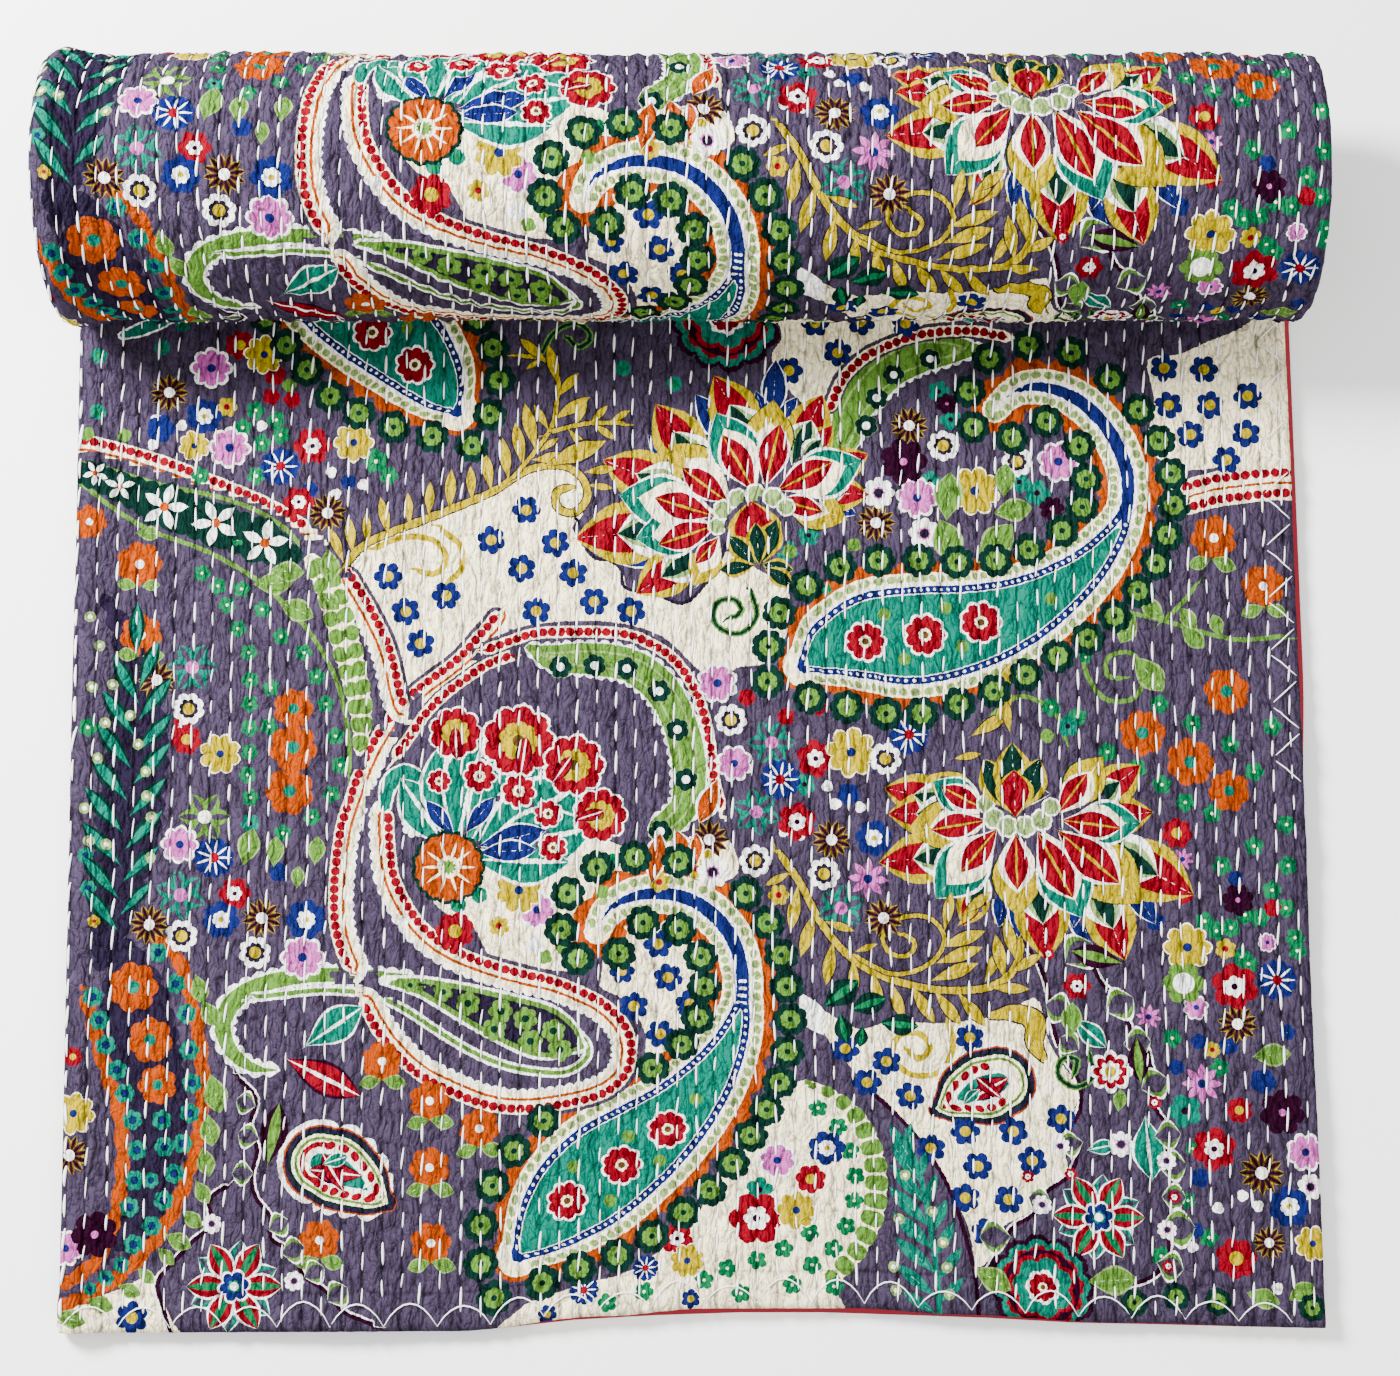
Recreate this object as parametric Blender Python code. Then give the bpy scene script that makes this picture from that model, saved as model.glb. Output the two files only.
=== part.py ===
"""Kantha quilt: a stitched cotton quilt, folded in half lengthwise, its far end rolled up.

The quilt is one piece of layered cloth. Folded in half it makes a strip of two leaves: the fold runs
along the left side, the hems lie on the right and in front. The strip lies flat from its front hem
to a tight bend, climbs the front of the roll, goes over its top and winds inwards.

Frame: X across the strip, Y from the front hem to the roll, Z up, in metres.
Origin: the middle of the bottom of the object's box.
"""

import math

import bmesh
import bpy

# Driving dimensions, in metres
STRIP_WIDTH = 0.762  # half of the open quilt's width
ROLL_RADIUS = 0.082  # outer surface of the roll, at its front
ROLL_AXIS_Y = 0.693  # behind the front hem
LEAF_THICKNESS = 0.0045
LEAF_GAP = 0.0015  # air between the two leaves
TURN_GAP = 0.0013  # air between one turn and the next
BEND_RADIUS = 0.006  # inside of the bend, where the strip turns up against the roll
FLAT_SPOT_DEPTH = 0.002  # how far the roll's underside is pressed flat
FOLD_RADIUS = 0.0047  # round of the folded side
HEM_ROUND = 0.0015  # round of the hemmed side
SKEW_X_PER_Y = -0.010  # the strip runs slightly to the left on its way back

# Quilting: the cloth stands up in ridges between rows of stitches, drawn at twice their real spacing
RIDGE_PITCH = 0.0238
RIDGE_HEIGHT = 0.0016
RIDGE_UNEVENNESS = 0.35

# Turned hem along the front
HEM_WIDTH = 0.021
HEM_STEP = 0.0008

# How far the front hem lies back from a straight line, along the strip's width
HEM_WAVE = (
    # x from the left side, set back
    (0.000, 0.000),
    (0.240, 0.001),
    (0.330, 0.010),
    (0.390, 0.0145),
    (0.480, 0.0145),
    (0.540, 0.011),
    (0.640, 0.006),
    (0.762, 0.003),
)

# Grooves in the roll's ends, between its turns
GROOVE_DEPTH = 0.010
CORE_RADIUS = 0.010

# Mesh steps
FLAT_STEPS = 9
BEND_STEPS = 4
ROLL_STEP_DEG = 15
GROOVE_STEP_DEG = 18
FOLD_STEPS = 3

PAIR_THICKNESS = 2 * LEAF_THICKNESS + LEAF_GAP
TURN_PITCH = PAIR_THICKNESS + TURN_GAP
AXIS_Z = ROLL_RADIUS - 0.75 * TURN_PITCH - FLAT_SPOT_DEPTH
CLOTH_COLOUR = (0.30, 0.26, 0.31, 1.0)


def outer_radius(turn_deg):
    """Radius of the roll's outer surface. turn_deg is 0 at its front, 90 on top, and grows inwards."""
    return ROLL_RADIUS - TURN_PITCH * turn_deg / 360


def on_roll(radius, turn_deg):
    """The point (y, z) at a radius and an angle about the roll's axis."""
    angle = math.radians(turn_deg)
    return (ROLL_AXIS_Y - radius * math.cos(angle), AXIS_Z + radius * math.sin(angle))


def bend_start():
    """Where the bend leaves the roll: its angle about the axis, in degrees, and the bend's centre."""
    height = PAIR_THICKNESS + BEND_RADIUS
    turn_deg = -40.0
    for _ in range(8):
        reach = outer_radius(turn_deg) + BEND_RADIUS
        turn_deg = math.degrees(math.asin((height - AXIS_Z) / reach))
    return turn_deg, (ROLL_AXIS_Y - reach * math.cos(math.radians(turn_deg)), height)


def smooth(share):
    """An ease from 0 to 1."""
    share = min(max(share, 0.0), 1.0)
    return share * share * (3 - 2 * share)


def hem_set_back(x_from_left):
    """How far the front hem lies back at a distance from the left side."""
    for (x_low, low), (x_high, high) in zip(HEM_WAVE, HEM_WAVE[1:]):
        if x_from_left <= x_high:
            return low + (high - low) * smooth((x_from_left - x_low) / (x_high - x_low))
    return HEM_WAVE[-1][1]


def outline():
    """The side view's outline: rows of (y, z, normal_y, normal_z, ridged), once round.

    It starts at the front hem's lower corner, runs along the top, round the roll, and back below.
    """
    bend_deg, (bend_y, bend_z) = bend_start()
    half = math.sqrt(0.5)
    top, edge = PAIR_THICKNESS, HEM_ROUND
    rows = [
        (edge, 0.0, 0.0, -1.0, 0.0),
        (0.0, edge, -1.0, 0.0, 0.0),
        (0.0, top - edge, -1.0, 0.0, 0.0),
        (edge, top, -half, half, 0.0),
        (HEM_WIDTH, top + HEM_STEP, 0.0, 1.0, 0.3),
        (HEM_WIDTH + 0.004, top, 0.0, 1.0, 1.0),
    ]
    first = HEM_WIDTH + 0.004
    for step in range(1, FLAT_STEPS + 1):
        rows.append((first + (bend_y - first) * step / FLAT_STEPS, top, 0.0, 1.0, 1.0))
    bend_angle = math.radians(90 - bend_deg)
    for step in range(1, BEND_STEPS):
        angle = bend_angle * step / BEND_STEPS
        y, z = bend_y + BEND_RADIUS * math.sin(angle), bend_z - BEND_RADIUS * math.cos(angle)
        rows.append((y, z, -math.sin(angle), math.cos(angle), 0.3))
    turn_deg, last_deg = bend_deg, 360 + bend_deg - 4
    while turn_deg < last_deg:
        y, z = on_roll(outer_radius(turn_deg), turn_deg)
        angle = math.radians(turn_deg)
        ridged = 0.6 if turn_deg < 0 else 1.0 if turn_deg < 240 else 0.0
        rows.append((y, z, -math.cos(angle), math.sin(angle), ridged))
        turn_deg += ROLL_STEP_DEG
    y, z = on_roll(outer_radius(bend_deg) - PAIR_THICKNESS, bend_deg)
    rows.append((y, z, 0.0, -1.0, 0.0))
    below = BEND_RADIUS + PAIR_THICKNESS
    for step in (3, 2, 1, 0):
        angle = bend_angle * step / BEND_STEPS
        y, z = bend_y + below * math.sin(angle), bend_z - below * math.cos(angle)
        rows.append((y, z, math.sin(angle), -math.cos(angle), 0.0))
    rows.append((0.5 * bend_y, 0.0, 0.0, -1.0, 0.0))
    return rows


def columns():
    """Rows of (x, inset, ridge) across the strip: the rounded fold, the ridges, the hemmed side."""
    left, right = -STRIP_WIDTH / 2, STRIP_WIDTH / 2
    rows = []
    for step in range(FOLD_STEPS):
        angle = math.pi / 2 * step / FOLD_STEPS
        rows.append(
            (left + FOLD_RADIUS * (1 - math.cos(angle)), FOLD_RADIUS * (1 - math.sin(angle)), 0.0)
        )
    start, end = left + FOLD_RADIUS, right - HEM_ROUND
    count = 2 * round((end - start) / RIDGE_PITCH)
    for step in range(count + 1):
        rows.append((start + (end - start) * step / count, 0.0, float(step % 2)))
    rows.append((right, HEM_ROUND, 0.0))
    return rows


def ridge_height(x, along):
    """Height of a ridge at a place on the strip, as uneven as hand stitching."""
    wave = math.sin(37 * x + 11 * along) + math.sin(71 * along - 23 * x + 1.3)
    return RIDGE_HEIGHT * (1 + RIDGE_UNEVENNESS * wave / 2)


def strip_point(row, column, along):
    """A point of the strip's surface, from a row of the outline and a column across."""
    y, z, normal_y, normal_z, ridged = row
    x, inset, ridge = column
    out = ridged * ridge * ridge_height(x, along) - inset
    y, z = y + out * normal_y, z + out * normal_z
    front_share = smooth(1 - y / 0.25)
    y += front_share * hem_set_back(x + STRIP_WIDTH / 2)
    return (x + SKEW_X_PER_Y * y, y, max(z, 0.0))


def new_object(name, mesh, collection):
    """An object for a mesh, in a collection."""
    thing = bpy.data.objects.new(name, mesh)
    collection.objects.link(thing)
    return thing


def build_strip(collection):
    """The quilt's body: a grid across and round the outline, welded, with its two sides filled."""
    rows, across = outline(), columns()
    shape = bmesh.new()
    grid = bmesh.ops.create_grid(shape, x_segments=len(across) - 1, y_segments=len(rows), size=0.5)
    for vertex in grid["verts"]:
        i = round((vertex.co.x + 0.5) * (len(across) - 1))
        j = round((vertex.co.y + 0.5) * len(rows)) % len(rows)
        vertex.co = strip_point(rows[j], across[i], j / len(rows))
    bmesh.ops.remove_doubles(shape, verts=shape.verts, dist=1e-6)
    open_edges = [edge for edge in shape.edges if edge.is_boundary]
    bmesh.ops.holes_fill(shape, edges=open_edges, sides=0)
    bmesh.ops.recalc_face_normals(shape, faces=shape.faces)
    mesh = bpy.data.meshes.new("quilt")
    shape.to_mesh(mesh)
    shape.free()
    return new_object("quilt", mesh, collection)


def slot_cutter(collection):
    """The space between the two leaves, open in front and on the right."""
    shape = bmesh.new()
    bmesh.ops.create_cube(shape, size=1.0)
    left = -STRIP_WIDTH / 2 + FOLD_RADIUS + LEAF_THICKNESS
    right = STRIP_WIDTH / 2 + 0.02
    front, back = -0.02, bend_start()[1][0]
    low, high = LEAF_THICKNESS, LEAF_THICKNESS + LEAF_GAP
    for vertex in shape.verts:
        vertex.co.x = (left + right) / 2 + (right - left) * vertex.co.x
        vertex.co.y = (front + back) / 2 + (back - front) * vertex.co.y
        vertex.co.z = (low + high) / 2 + (high - low) * vertex.co.z
    mesh = bpy.data.meshes.new("leaf_gap")
    shape.to_mesh(mesh)
    shape.free()
    return new_object("leaf_gap", mesh, collection)


def groove_cutter(name, x_low, x_high, collection):
    """The spiral between the roll's turns, from the bend inwards, for one end of the roll."""
    middle = PAIR_THICKNESS + TURN_GAP / 2
    start = bend_start()[0] + 2
    turns = (outer_radius(start) - middle - CORE_RADIUS) / TURN_PITCH
    count = int(turns * 360 / GROOVE_STEP_DEG)
    shape = bmesh.new()
    section = []
    for x, side in ((x_low, -1), (x_high, -1), (x_high, 1), (x_low, 1)):
        y, z = on_roll(outer_radius(start) - middle + side * TURN_GAP / 2, start)
        section.append(shape.verts.new((x, y, z)))
    ring = [shape.edges.new((a, b)) for a, b in zip(section, section[1:] + section[:1])]
    first_cap = shape.faces.new(section)
    for step in range(1, count + 1):
        grown = bmesh.ops.extrude_edge_only(shape, edges=ring)["geom"]
        ring = [item for item in grown if isinstance(item, bmesh.types.BMEdge)]
        turn_deg = start + step * GROOVE_STEP_DEG
        moved = {vertex for edge in ring for vertex in edge.verts}
        old_deg = turn_deg - GROOVE_STEP_DEG
        for vertex in moved:
            y, z = vertex.co.y - ROLL_AXIS_Y, vertex.co.z - AXIS_Z
            side = math.hypot(y, z) - (outer_radius(old_deg) - middle)
            vertex.co.y, vertex.co.z = on_roll(outer_radius(turn_deg) - middle + side, turn_deg)
    bmesh.ops.holes_fill(shape, edges=ring, sides=0)
    bmesh.ops.recalc_face_normals(shape, faces=shape.faces)
    assert first_cap.is_valid
    mesh = bpy.data.meshes.new(name)
    shape.to_mesh(mesh)
    shape.free()
    return new_object(name, mesh, collection)


def cut(thing, cutter):
    """Cuts a shape out of an object."""
    cutter.hide_render = True
    cutter.display_type = "WIRE"
    modifier = thing.modifiers.new(cutter.name, "BOOLEAN")
    modifier.operation = "DIFFERENCE"
    modifier.solver = "EXACT"
    modifier.object = cutter


def cotton():
    """Printed cotton cloth, at the print's mean colour."""
    material = bpy.data.materials.new("printed_cotton")
    material.use_nodes = True
    shader = material.node_tree.nodes["Principled BSDF"]
    shader.inputs["Base Color"].default_value = CLOTH_COLOUR
    shader.inputs["Roughness"].default_value = 0.9
    shader.inputs["Metallic"].default_value = 0.0
    return material


def new_collection(name):
    """A collection in the scene."""
    collection = bpy.data.collections.new(name)
    bpy.context.scene.collection.children.link(collection)
    return collection


def main():
    """Builds the quilt."""
    for thing in list(bpy.data.objects):
        bpy.data.objects.remove(thing)
    parts, cutters = new_collection("kantha_quilt"), new_collection("cutters")
    quilt = build_strip(parts)
    quilt.data.materials.append(cotton())
    end = STRIP_WIDTH / 2
    lean = SKEW_X_PER_Y * ROLL_AXIS_Y
    cut(quilt, slot_cutter(cutters))
    cut(quilt, groove_cutter("left_turns", lean - end - 0.02, lean - end + GROOVE_DEPTH, cutters))
    cut(quilt, groove_cutter("right_turns", lean + end - GROOVE_DEPTH, lean + end + 0.02, cutters))

    # The origin goes to the middle of the bottom of the box
    ys = [vertex.co.y for vertex in quilt.data.vertices]
    xs = [vertex.co.x for vertex in quilt.data.vertices]
    for thing in (*parts.objects, *cutters.objects):
        thing.location = (-(min(xs) + max(xs)) / 2, -(min(ys) + max(ys)) / 2, 0.0)


main()
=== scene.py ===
"""A kantha quilt: printed cotton, stitched through in rows, folded in half and rolled up at its far end.

The cloth is one sheet. Every point of it has cloth coordinates: u across (0 at the lengthwise fold,
positive on the upper leaf), v along (0 at the front hem) and w up off the printed face. ClothPath
places them in the row frame, so the cloth, its stitches and its print all share one drape.
"""

import logging
import math
from dataclasses import dataclass, field
from enum import Enum
from functools import partial
from typing import Any

import bmesh
import bpy
import numpy as np
from bpy.types import Material, Mesh, NodeTree, Object
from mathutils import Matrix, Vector


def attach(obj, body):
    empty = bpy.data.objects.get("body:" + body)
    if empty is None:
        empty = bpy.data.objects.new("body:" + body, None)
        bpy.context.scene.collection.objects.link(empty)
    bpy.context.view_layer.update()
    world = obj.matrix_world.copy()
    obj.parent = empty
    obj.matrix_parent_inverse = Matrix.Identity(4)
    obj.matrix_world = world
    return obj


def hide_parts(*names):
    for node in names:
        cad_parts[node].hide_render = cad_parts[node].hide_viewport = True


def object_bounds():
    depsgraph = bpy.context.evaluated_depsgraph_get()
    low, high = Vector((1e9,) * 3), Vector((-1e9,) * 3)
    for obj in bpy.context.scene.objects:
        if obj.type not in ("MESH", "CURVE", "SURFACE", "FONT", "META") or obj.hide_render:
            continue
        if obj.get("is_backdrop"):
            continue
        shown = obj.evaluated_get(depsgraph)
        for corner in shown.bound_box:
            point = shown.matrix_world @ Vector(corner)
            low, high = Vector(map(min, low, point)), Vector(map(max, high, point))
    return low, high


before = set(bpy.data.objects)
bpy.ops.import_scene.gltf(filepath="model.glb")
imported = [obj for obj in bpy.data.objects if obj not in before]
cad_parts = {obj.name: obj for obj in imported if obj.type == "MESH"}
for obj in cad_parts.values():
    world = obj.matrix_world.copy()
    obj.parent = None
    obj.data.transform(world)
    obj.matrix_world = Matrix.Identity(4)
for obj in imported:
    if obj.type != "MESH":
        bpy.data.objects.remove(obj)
CAD_LOW, CAD_HIGH = (Vector(corner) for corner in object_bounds())

Array = np.ndarray
LOG = logging.getLogger("kantha_quilt")


# ---- helpers


def linear(hex_colour: str) -> tuple[float, float, float, float]:
    """Turn an sRGB hex colour into Blender's linear values.

    Args:
        hex_colour: six hex digits, with or without a leading #.

    Returns:
        Red, green, blue and an alpha of 1.
    """
    digits = hex_colour.lstrip("#")
    channels = [int(digits[i : i + 2], 16) / 255 for i in (0, 2, 4)]
    red, green, blue = (c / 12.92 if c <= 0.04045 else ((c + 0.055) / 1.055) ** 2.4 for c in channels)
    return red, green, blue, 1.0


def ease(share: Array | float) -> Array:
    """Rise smoothly from 0 to 1 as share does.

    Args:
        share: where along the rise, of any size.

    Returns:
        The eased share.
    """
    held = np.clip(share, 0.0, 1.0)
    return held * held * (3 - 2 * held)


def ripple(x: Array, y: Array, lengths: tuple[float, float], seed: int, waves: int = 7) -> Array:
    """Sum a few sine waves into a smooth, uneven surface of about -1 to 1.

    Args:
        x: places along the first direction, in metres.
        y: places along the second.
        lengths: the typical wavelength along each, in metres.
        seed: which surface.
        waves: how many sines.

    Returns:
        The surface's height at each place.
    """
    rng = np.random.default_rng(seed)
    total = np.zeros(np.broadcast(x, y).shape)
    for _ in range(waves):
        turn, phase, stretch = rng.uniform(0, 2 * np.pi), rng.uniform(0, 2 * np.pi), rng.uniform(0.7, 1.5)
        along = np.cos(turn) * x / lengths[0] + np.sin(turn) * y / lengths[1]
        total += np.sin(2 * np.pi * stretch * along + phase)
    return total / math.sqrt(waves / 2) / 1.6


def mound(at: Array, middle: float, spread: float) -> Array:
    """A smooth mound, 1 high at its middle."""
    return np.exp(-(((at - middle) / spread) ** 2))


def new_piece(name: str, mesh: Mesh, materials: list[Material]) -> Object:
    """Put a finished mesh in the scene as a piece of the quilt.

    Args:
        name: the piece's name.
        mesh: its mesh, in the row frame.
        materials: its finishes, in slot order.

    Returns:
        The object, riding on the quilt's one body.
    """
    mesh.name = name
    for material in materials:
        mesh.materials.append(material)
    piece = bpy.data.objects.new(name, mesh)
    bpy.context.scene.collection.objects.link(piece)
    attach(piece, "root")
    return piece


# ---- the drape


@dataclass
class ClothPath:
    """How the doubled cloth lies: flat, up in a tight bend, and round into the roll. In metres."""

    strip_width: float = 0.762
    cloth_length: float = 2.29
    roll_radius: float = 0.082
    axis_y: float = 0.693
    leaf: float = 0.0045
    leaf_gap: float = 0.0015
    turn_gap: float = 0.0013
    inner_turn_gap: float = 0.0019
    bend_radius: float = 0.006
    flat_spot: float = 0.002
    skew: float = -0.010
    squash_height: float = 0.020
    core_radius: float = 0.012
    most_turns: int = 8
    outer_turn_deg: float = 320.0
    bend_steps: int = 40
    # The front hem's wave runs this far back, and is this much smaller on the lower leaf.
    wave_reach: float = 0.25
    lower_wave: float = 0.80
    # The lower leaf peeks out beside the upper one between these two places along the strip.
    peek: float = 0.004
    peek_from: float = 0.30
    peek_to: float = 0.66
    # The roll presses flat on the surface behind it, past this angle about its axis.
    press_from_deg: float = 100.0
    press_over_deg: float = 60.0
    # The turns drift to the side as they wind, so the roll's ends are uneven.
    drift: float = 0.0022
    drift_turn_deg: float = 57.3
    drift_rate: float = 0.61
    drift_phase: float = 0.7
    drift_from_deg: float = 60.0
    drift_over_deg: float = 200.0
    clearance: float = 0.0002
    hem_wave: tuple[tuple[float, float], ...] = (
        # x from the left side, set back
        (0.000, 0.000),
        (0.240, 0.001),
        (0.330, 0.010),
        (0.390, 0.0145),
        (0.480, 0.0145),
        (0.540, 0.011),
        (0.640, 0.006),
        (0.762, 0.003),
    )
    stations: dict[str, Array] = field(init=False)

    def __post_init__(self) -> None:
        """Work out the side view's line, station by station."""
        self.pair = 2 * self.leaf + self.leaf_gap
        self.pitch = self.pair + self.turn_gap
        self.axis_z = self.roll_radius - 0.75 * self.pitch - self.flat_spot
        self.bend_deg, self.bend_y = self._bend()
        self.bend_z = self.pair + self.bend_radius
        self.flat_length = self.bend_y
        self.bend_length = self.bend_radius * math.radians(90 - self.bend_deg)
        self.roll_start = self.flat_length + self.bend_length
        self.stations = self._stations()
        self.offset = (
            CAD_LOW.x + self.strip_width / 2 - self.skew * (CAD_HIGH.y - CAD_LOW.y),
            CAD_LOW.y,
        )

    def _outer(self, turn_deg: float) -> float:
        """Radius of the roll's outer surface at an angle that is 0 in front, 90 on top."""
        first = min(turn_deg, self.outer_turn_deg)
        inner_pitch = self.pair + self.inner_turn_gap
        return self.roll_radius - self.pitch * first / 360 - inner_pitch * (turn_deg - first) / 360

    def _bend(self) -> tuple[float, float]:
        """Find where the bend touches the roll.

        Returns:
            The angle about the roll's axis, in degrees, and the bend centre's distance back.
        """
        # A first guess, made better by each round.
        turn_deg, reach = -40.0, self.roll_radius
        for _ in range(8):
            reach = self._outer(turn_deg) + self.bend_radius
            turn_deg = math.degrees(math.asin((self.pair + self.bend_radius - self.axis_z) / reach))
        return turn_deg, self.axis_y - reach * math.cos(math.radians(turn_deg))

    def _stations(self) -> dict[str, Array]:
        """Trace the upper leaf's printed face in the side view.

        Returns:
            For each station its distance along the cloth, place, outward normal and turn angle.
        """
        rows = [(0.0, self.pair, 0.0, 1.0, -90.0), (self.flat_length, self.pair, 0.0, 1.0, -90.0)]
        for step in range(1, self.bend_steps + 1):
            angle = math.radians(90 - self.bend_deg) * step / self.bend_steps
            y = self.bend_y + self.bend_radius * math.sin(angle)
            z = self.bend_z - self.bend_radius * math.cos(angle)
            rows.append((y, z, -math.sin(angle), math.cos(angle), self.bend_deg))
        turn_deg = self.bend_deg
        while turn_deg < 360 * self.most_turns and self._outer(turn_deg) > self.core_radius:
            turn_deg += 1.0
            angle, radius = math.radians(turn_deg), self._outer(turn_deg)
            y, z = self.axis_y - radius * math.cos(angle), self.axis_z + radius * math.sin(angle)
            rows.append((y, z, -math.cos(angle), math.sin(angle), turn_deg))
        y, z, normal_y, normal_z, turn = np.array(rows).T
        along = np.concatenate([[0.0], np.cumsum(np.hypot(np.diff(y), np.diff(z)))])
        return {"along": along, "y": y, "z": z, "ny": normal_y, "nz": normal_z, "turn": turn}

    def turn_at(self, along: Array) -> Array:
        """The angle about the roll's axis, in degrees, at a distance along the cloth."""
        return np.interp(along, self.stations["along"], self.stations["turn"])

    def along_at(self, turn_deg: Array) -> Array:
        """The distance along the cloth at an angle about the roll's axis."""
        on_roll = self.stations["along"] >= self.roll_start - 1e-6
        return np.interp(turn_deg, self.stations["turn"][on_roll], self.stations["along"][on_roll])

    def set_back(self, u: Array) -> Array:
        """How far the front hem lies back from straight, across the strip."""
        places, backs = np.array(self.hem_wave).T
        at = np.abs(u)
        index = np.clip(np.searchsorted(places, at) - 1, 0, len(places) - 2)
        share = ease((at - places[index]) / (places[index + 1] - places[index]))
        upper = backs[index] + (backs[index + 1] - backs[index]) * share
        return np.where(u >= 0, upper, self.lower_wave * upper)

    def spread(self, u: Array, v: Array) -> tuple[Array, Array]:
        """Where a cloth point lies across the strip and along the path, before it is raised.

        Args:
            u: across the cloth.
            v: along the cloth.

        Returns:
            Distance from the strip's left side, and distance along the path.
        """
        along = v + self.set_back(u) * ease(1 - v / self.wave_reach)
        peek = self.peek * ease((v - self.peek_from) / 0.1) * ease((self.peek_to - v) / 0.03)
        across = np.where(u < 0, np.abs(u) * (1 + peek / self.strip_width), u)
        return across, along

    def place(self, u: Array, v: Array, w: Array) -> Array:
        """Put cloth points in the row frame.

        Args:
            u: across the cloth, 0 at the fold, positive on the upper leaf.
            v: along the cloth from the front hem.
            w: out from the printed face.

        Returns:
            An array of points, one row each.
        """
        across, along = self.spread(u, v)
        half = self.pair / 2
        arc = np.pi * half / 2
        angle = np.clip(u / half, -np.pi / 2, np.pi / 2)
        on_fold = np.abs(u) < arc
        radius = half + w
        x_leaf = half + across - arc
        x = np.where(on_fold, half - radius * np.cos(angle), x_leaf)
        depth = np.where(on_fold, half - radius * np.sin(angle), np.where(u > 0, -w, self.pair + w))
        side = self.stations
        y, z, normal_y, normal_z = (
            np.interp(along, side["along"], side[key]) for key in ("y", "z", "ny", "nz")
        )
        length = np.hypot(normal_y, normal_z)
        y = y - depth * normal_y / length
        z = z - depth * normal_z / length
        turn = self.turn_at(along)
        pressed = ease((turn - self.press_from_deg) / self.press_over_deg)
        low = self.squash_height * (z + self.flat_spot) / (self.squash_height + self.flat_spot)
        z = np.where(z < self.squash_height, z + pressed * (low - z), z)
        drift = self.drift * np.sin(turn / self.drift_turn_deg * self.drift_rate + self.drift_phase)
        drift = drift * ease((turn - self.drift_from_deg) / self.drift_over_deg)
        x = x - self.strip_width / 2 + self.skew * y + drift + self.offset[0]
        return np.stack([x, y + self.offset[1], np.maximum(z, self.clearance)], axis=-1)


@dataclass
class Quilting:
    """Rows of running stitches, and how they draw the cloth into ridges. In metres."""

    path: ClothPath
    row_pitch: float = 0.0119
    stitch_pitch: float = 0.0190
    stitch_length: float = 0.0130
    ridge_height: float = 0.0014
    pucker_height: float = 0.00045
    sway_height: float = 0.0010
    row_wander: float = 0.0007
    seed: int = 11
    # The slow forms of the upper leaf: the puffed fold, the dip beside it, the furrow by the right
    # hems, the hems' double cloth, and the rounding of its edges.
    fold_puff: float = 0.0035
    fold_dip: float = 0.0016
    furrow_depth: float = 0.0018
    hem_rise: float = 0.0009
    side_hem: float = 0.015
    front_hem: float = 0.021
    edge_drop: float = 0.0016
    edge_round: float = 0.0012

    def __post_init__(self) -> None:
        """Count the rows and give each its own phase."""
        self.rows = int(self.path.strip_width / self.row_pitch)
        self.phases = np.random.default_rng(self.seed).uniform(0, 2 * np.pi, self.rows + 1)

    def row_of(self, u: Array) -> Array:
        """The nearest stitch row's number."""
        return np.clip(np.floor(u / self.row_pitch), 0, self.rows - 1).astype(int)

    def row_line(self, row: Array, v: Array) -> Array:
        """Where a row of stitches runs: across the cloth, at a distance along it."""
        return (row + 0.5) * self.row_pitch + self.row_wander * ripple(row * 0.31, v, (1.0, 0.16), 5)

    def height(self, u: Array, v: Array) -> Array:
        """How far the printed face stands off its plain place.

        Args:
            u: across the cloth, on the upper leaf.
            v: along it.

        Returns:
            The height at each place, 0 in the rows' valleys.
        """
        row = self.row_of(u)
        off = np.abs(u - self.row_line(row, v)) / (self.row_pitch / 2)
        crown = np.sin(np.pi / 2 * np.clip(off, 0, 1)) ** 2
        phase = 2 * np.pi * v / self.stitch_pitch + self.phases[row]
        uneven = 0.75 + 0.35 * ripple(u, v, (0.05, 0.06), 21)
        puckers = np.sin(phase + 2.2 * ripple(u, v, (0.03, 0.03), 22))
        gathers = ripple(u, v, (0.010, 0.022), 23, 12)
        sway = ripple(u, v, (0.16, 0.22), 24)
        return (
            self.ridge_height * crown * uneven
            + self.pucker_height * (puckers * (0.4 + crown) + gathers)
            + self.sway_height * sway
        )

    def swell(self, u: Array, v: Array) -> Array:
        """The upper leaf's slow rise and fall: the puffed fold, the dip beside it, the hems."""
        width = self.path.strip_width
        puff = self.fold_puff * mound(u, 0.012, 0.011)
        dip = -self.fold_dip * mound(u, 0.040, 0.014)
        side_hem = self.hem_rise * ease((u - (width - self.side_hem)) / 0.002)
        front_hem = self.hem_rise * ease((self.front_hem - v) / 0.002)
        furrow = -self.furrow_depth * mound(u, 0.727, 0.008) * ease((v - 0.2) / 0.1)
        rounding = -self.edge_drop * np.exp(-((width - u) / self.edge_round))
        rounding = rounding - self.edge_drop * np.exp(-(v / self.edge_round))
        return puff + dip + side_hem + front_hem + furrow + rounding


# ---- the print


class Ink(Enum):
    """The print's colours; the number is the colour's place on the palette."""

    SLATE = 0
    CREAM = 1
    CRIMSON = 2
    ORANGE = 3
    YELLOW = 4
    TEAL = 5
    BOTTLE = 6
    LEAF = 7
    ROYAL = 8
    PINK = 9
    MAROON = 10
    WHITE = 11
    SAGE = 12
    OLIVE = 13
    SEA = 14
    DUSK = 15


(
    SLATE, CREAM, CRIMSON, ORANGE, YELLOW, TEAL, BOTTLE, LEAF,
    ROYAL, PINK, MAROON, WHITE, SAGE, OLIVE, SEA, DUSK,
) = Ink

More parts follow.
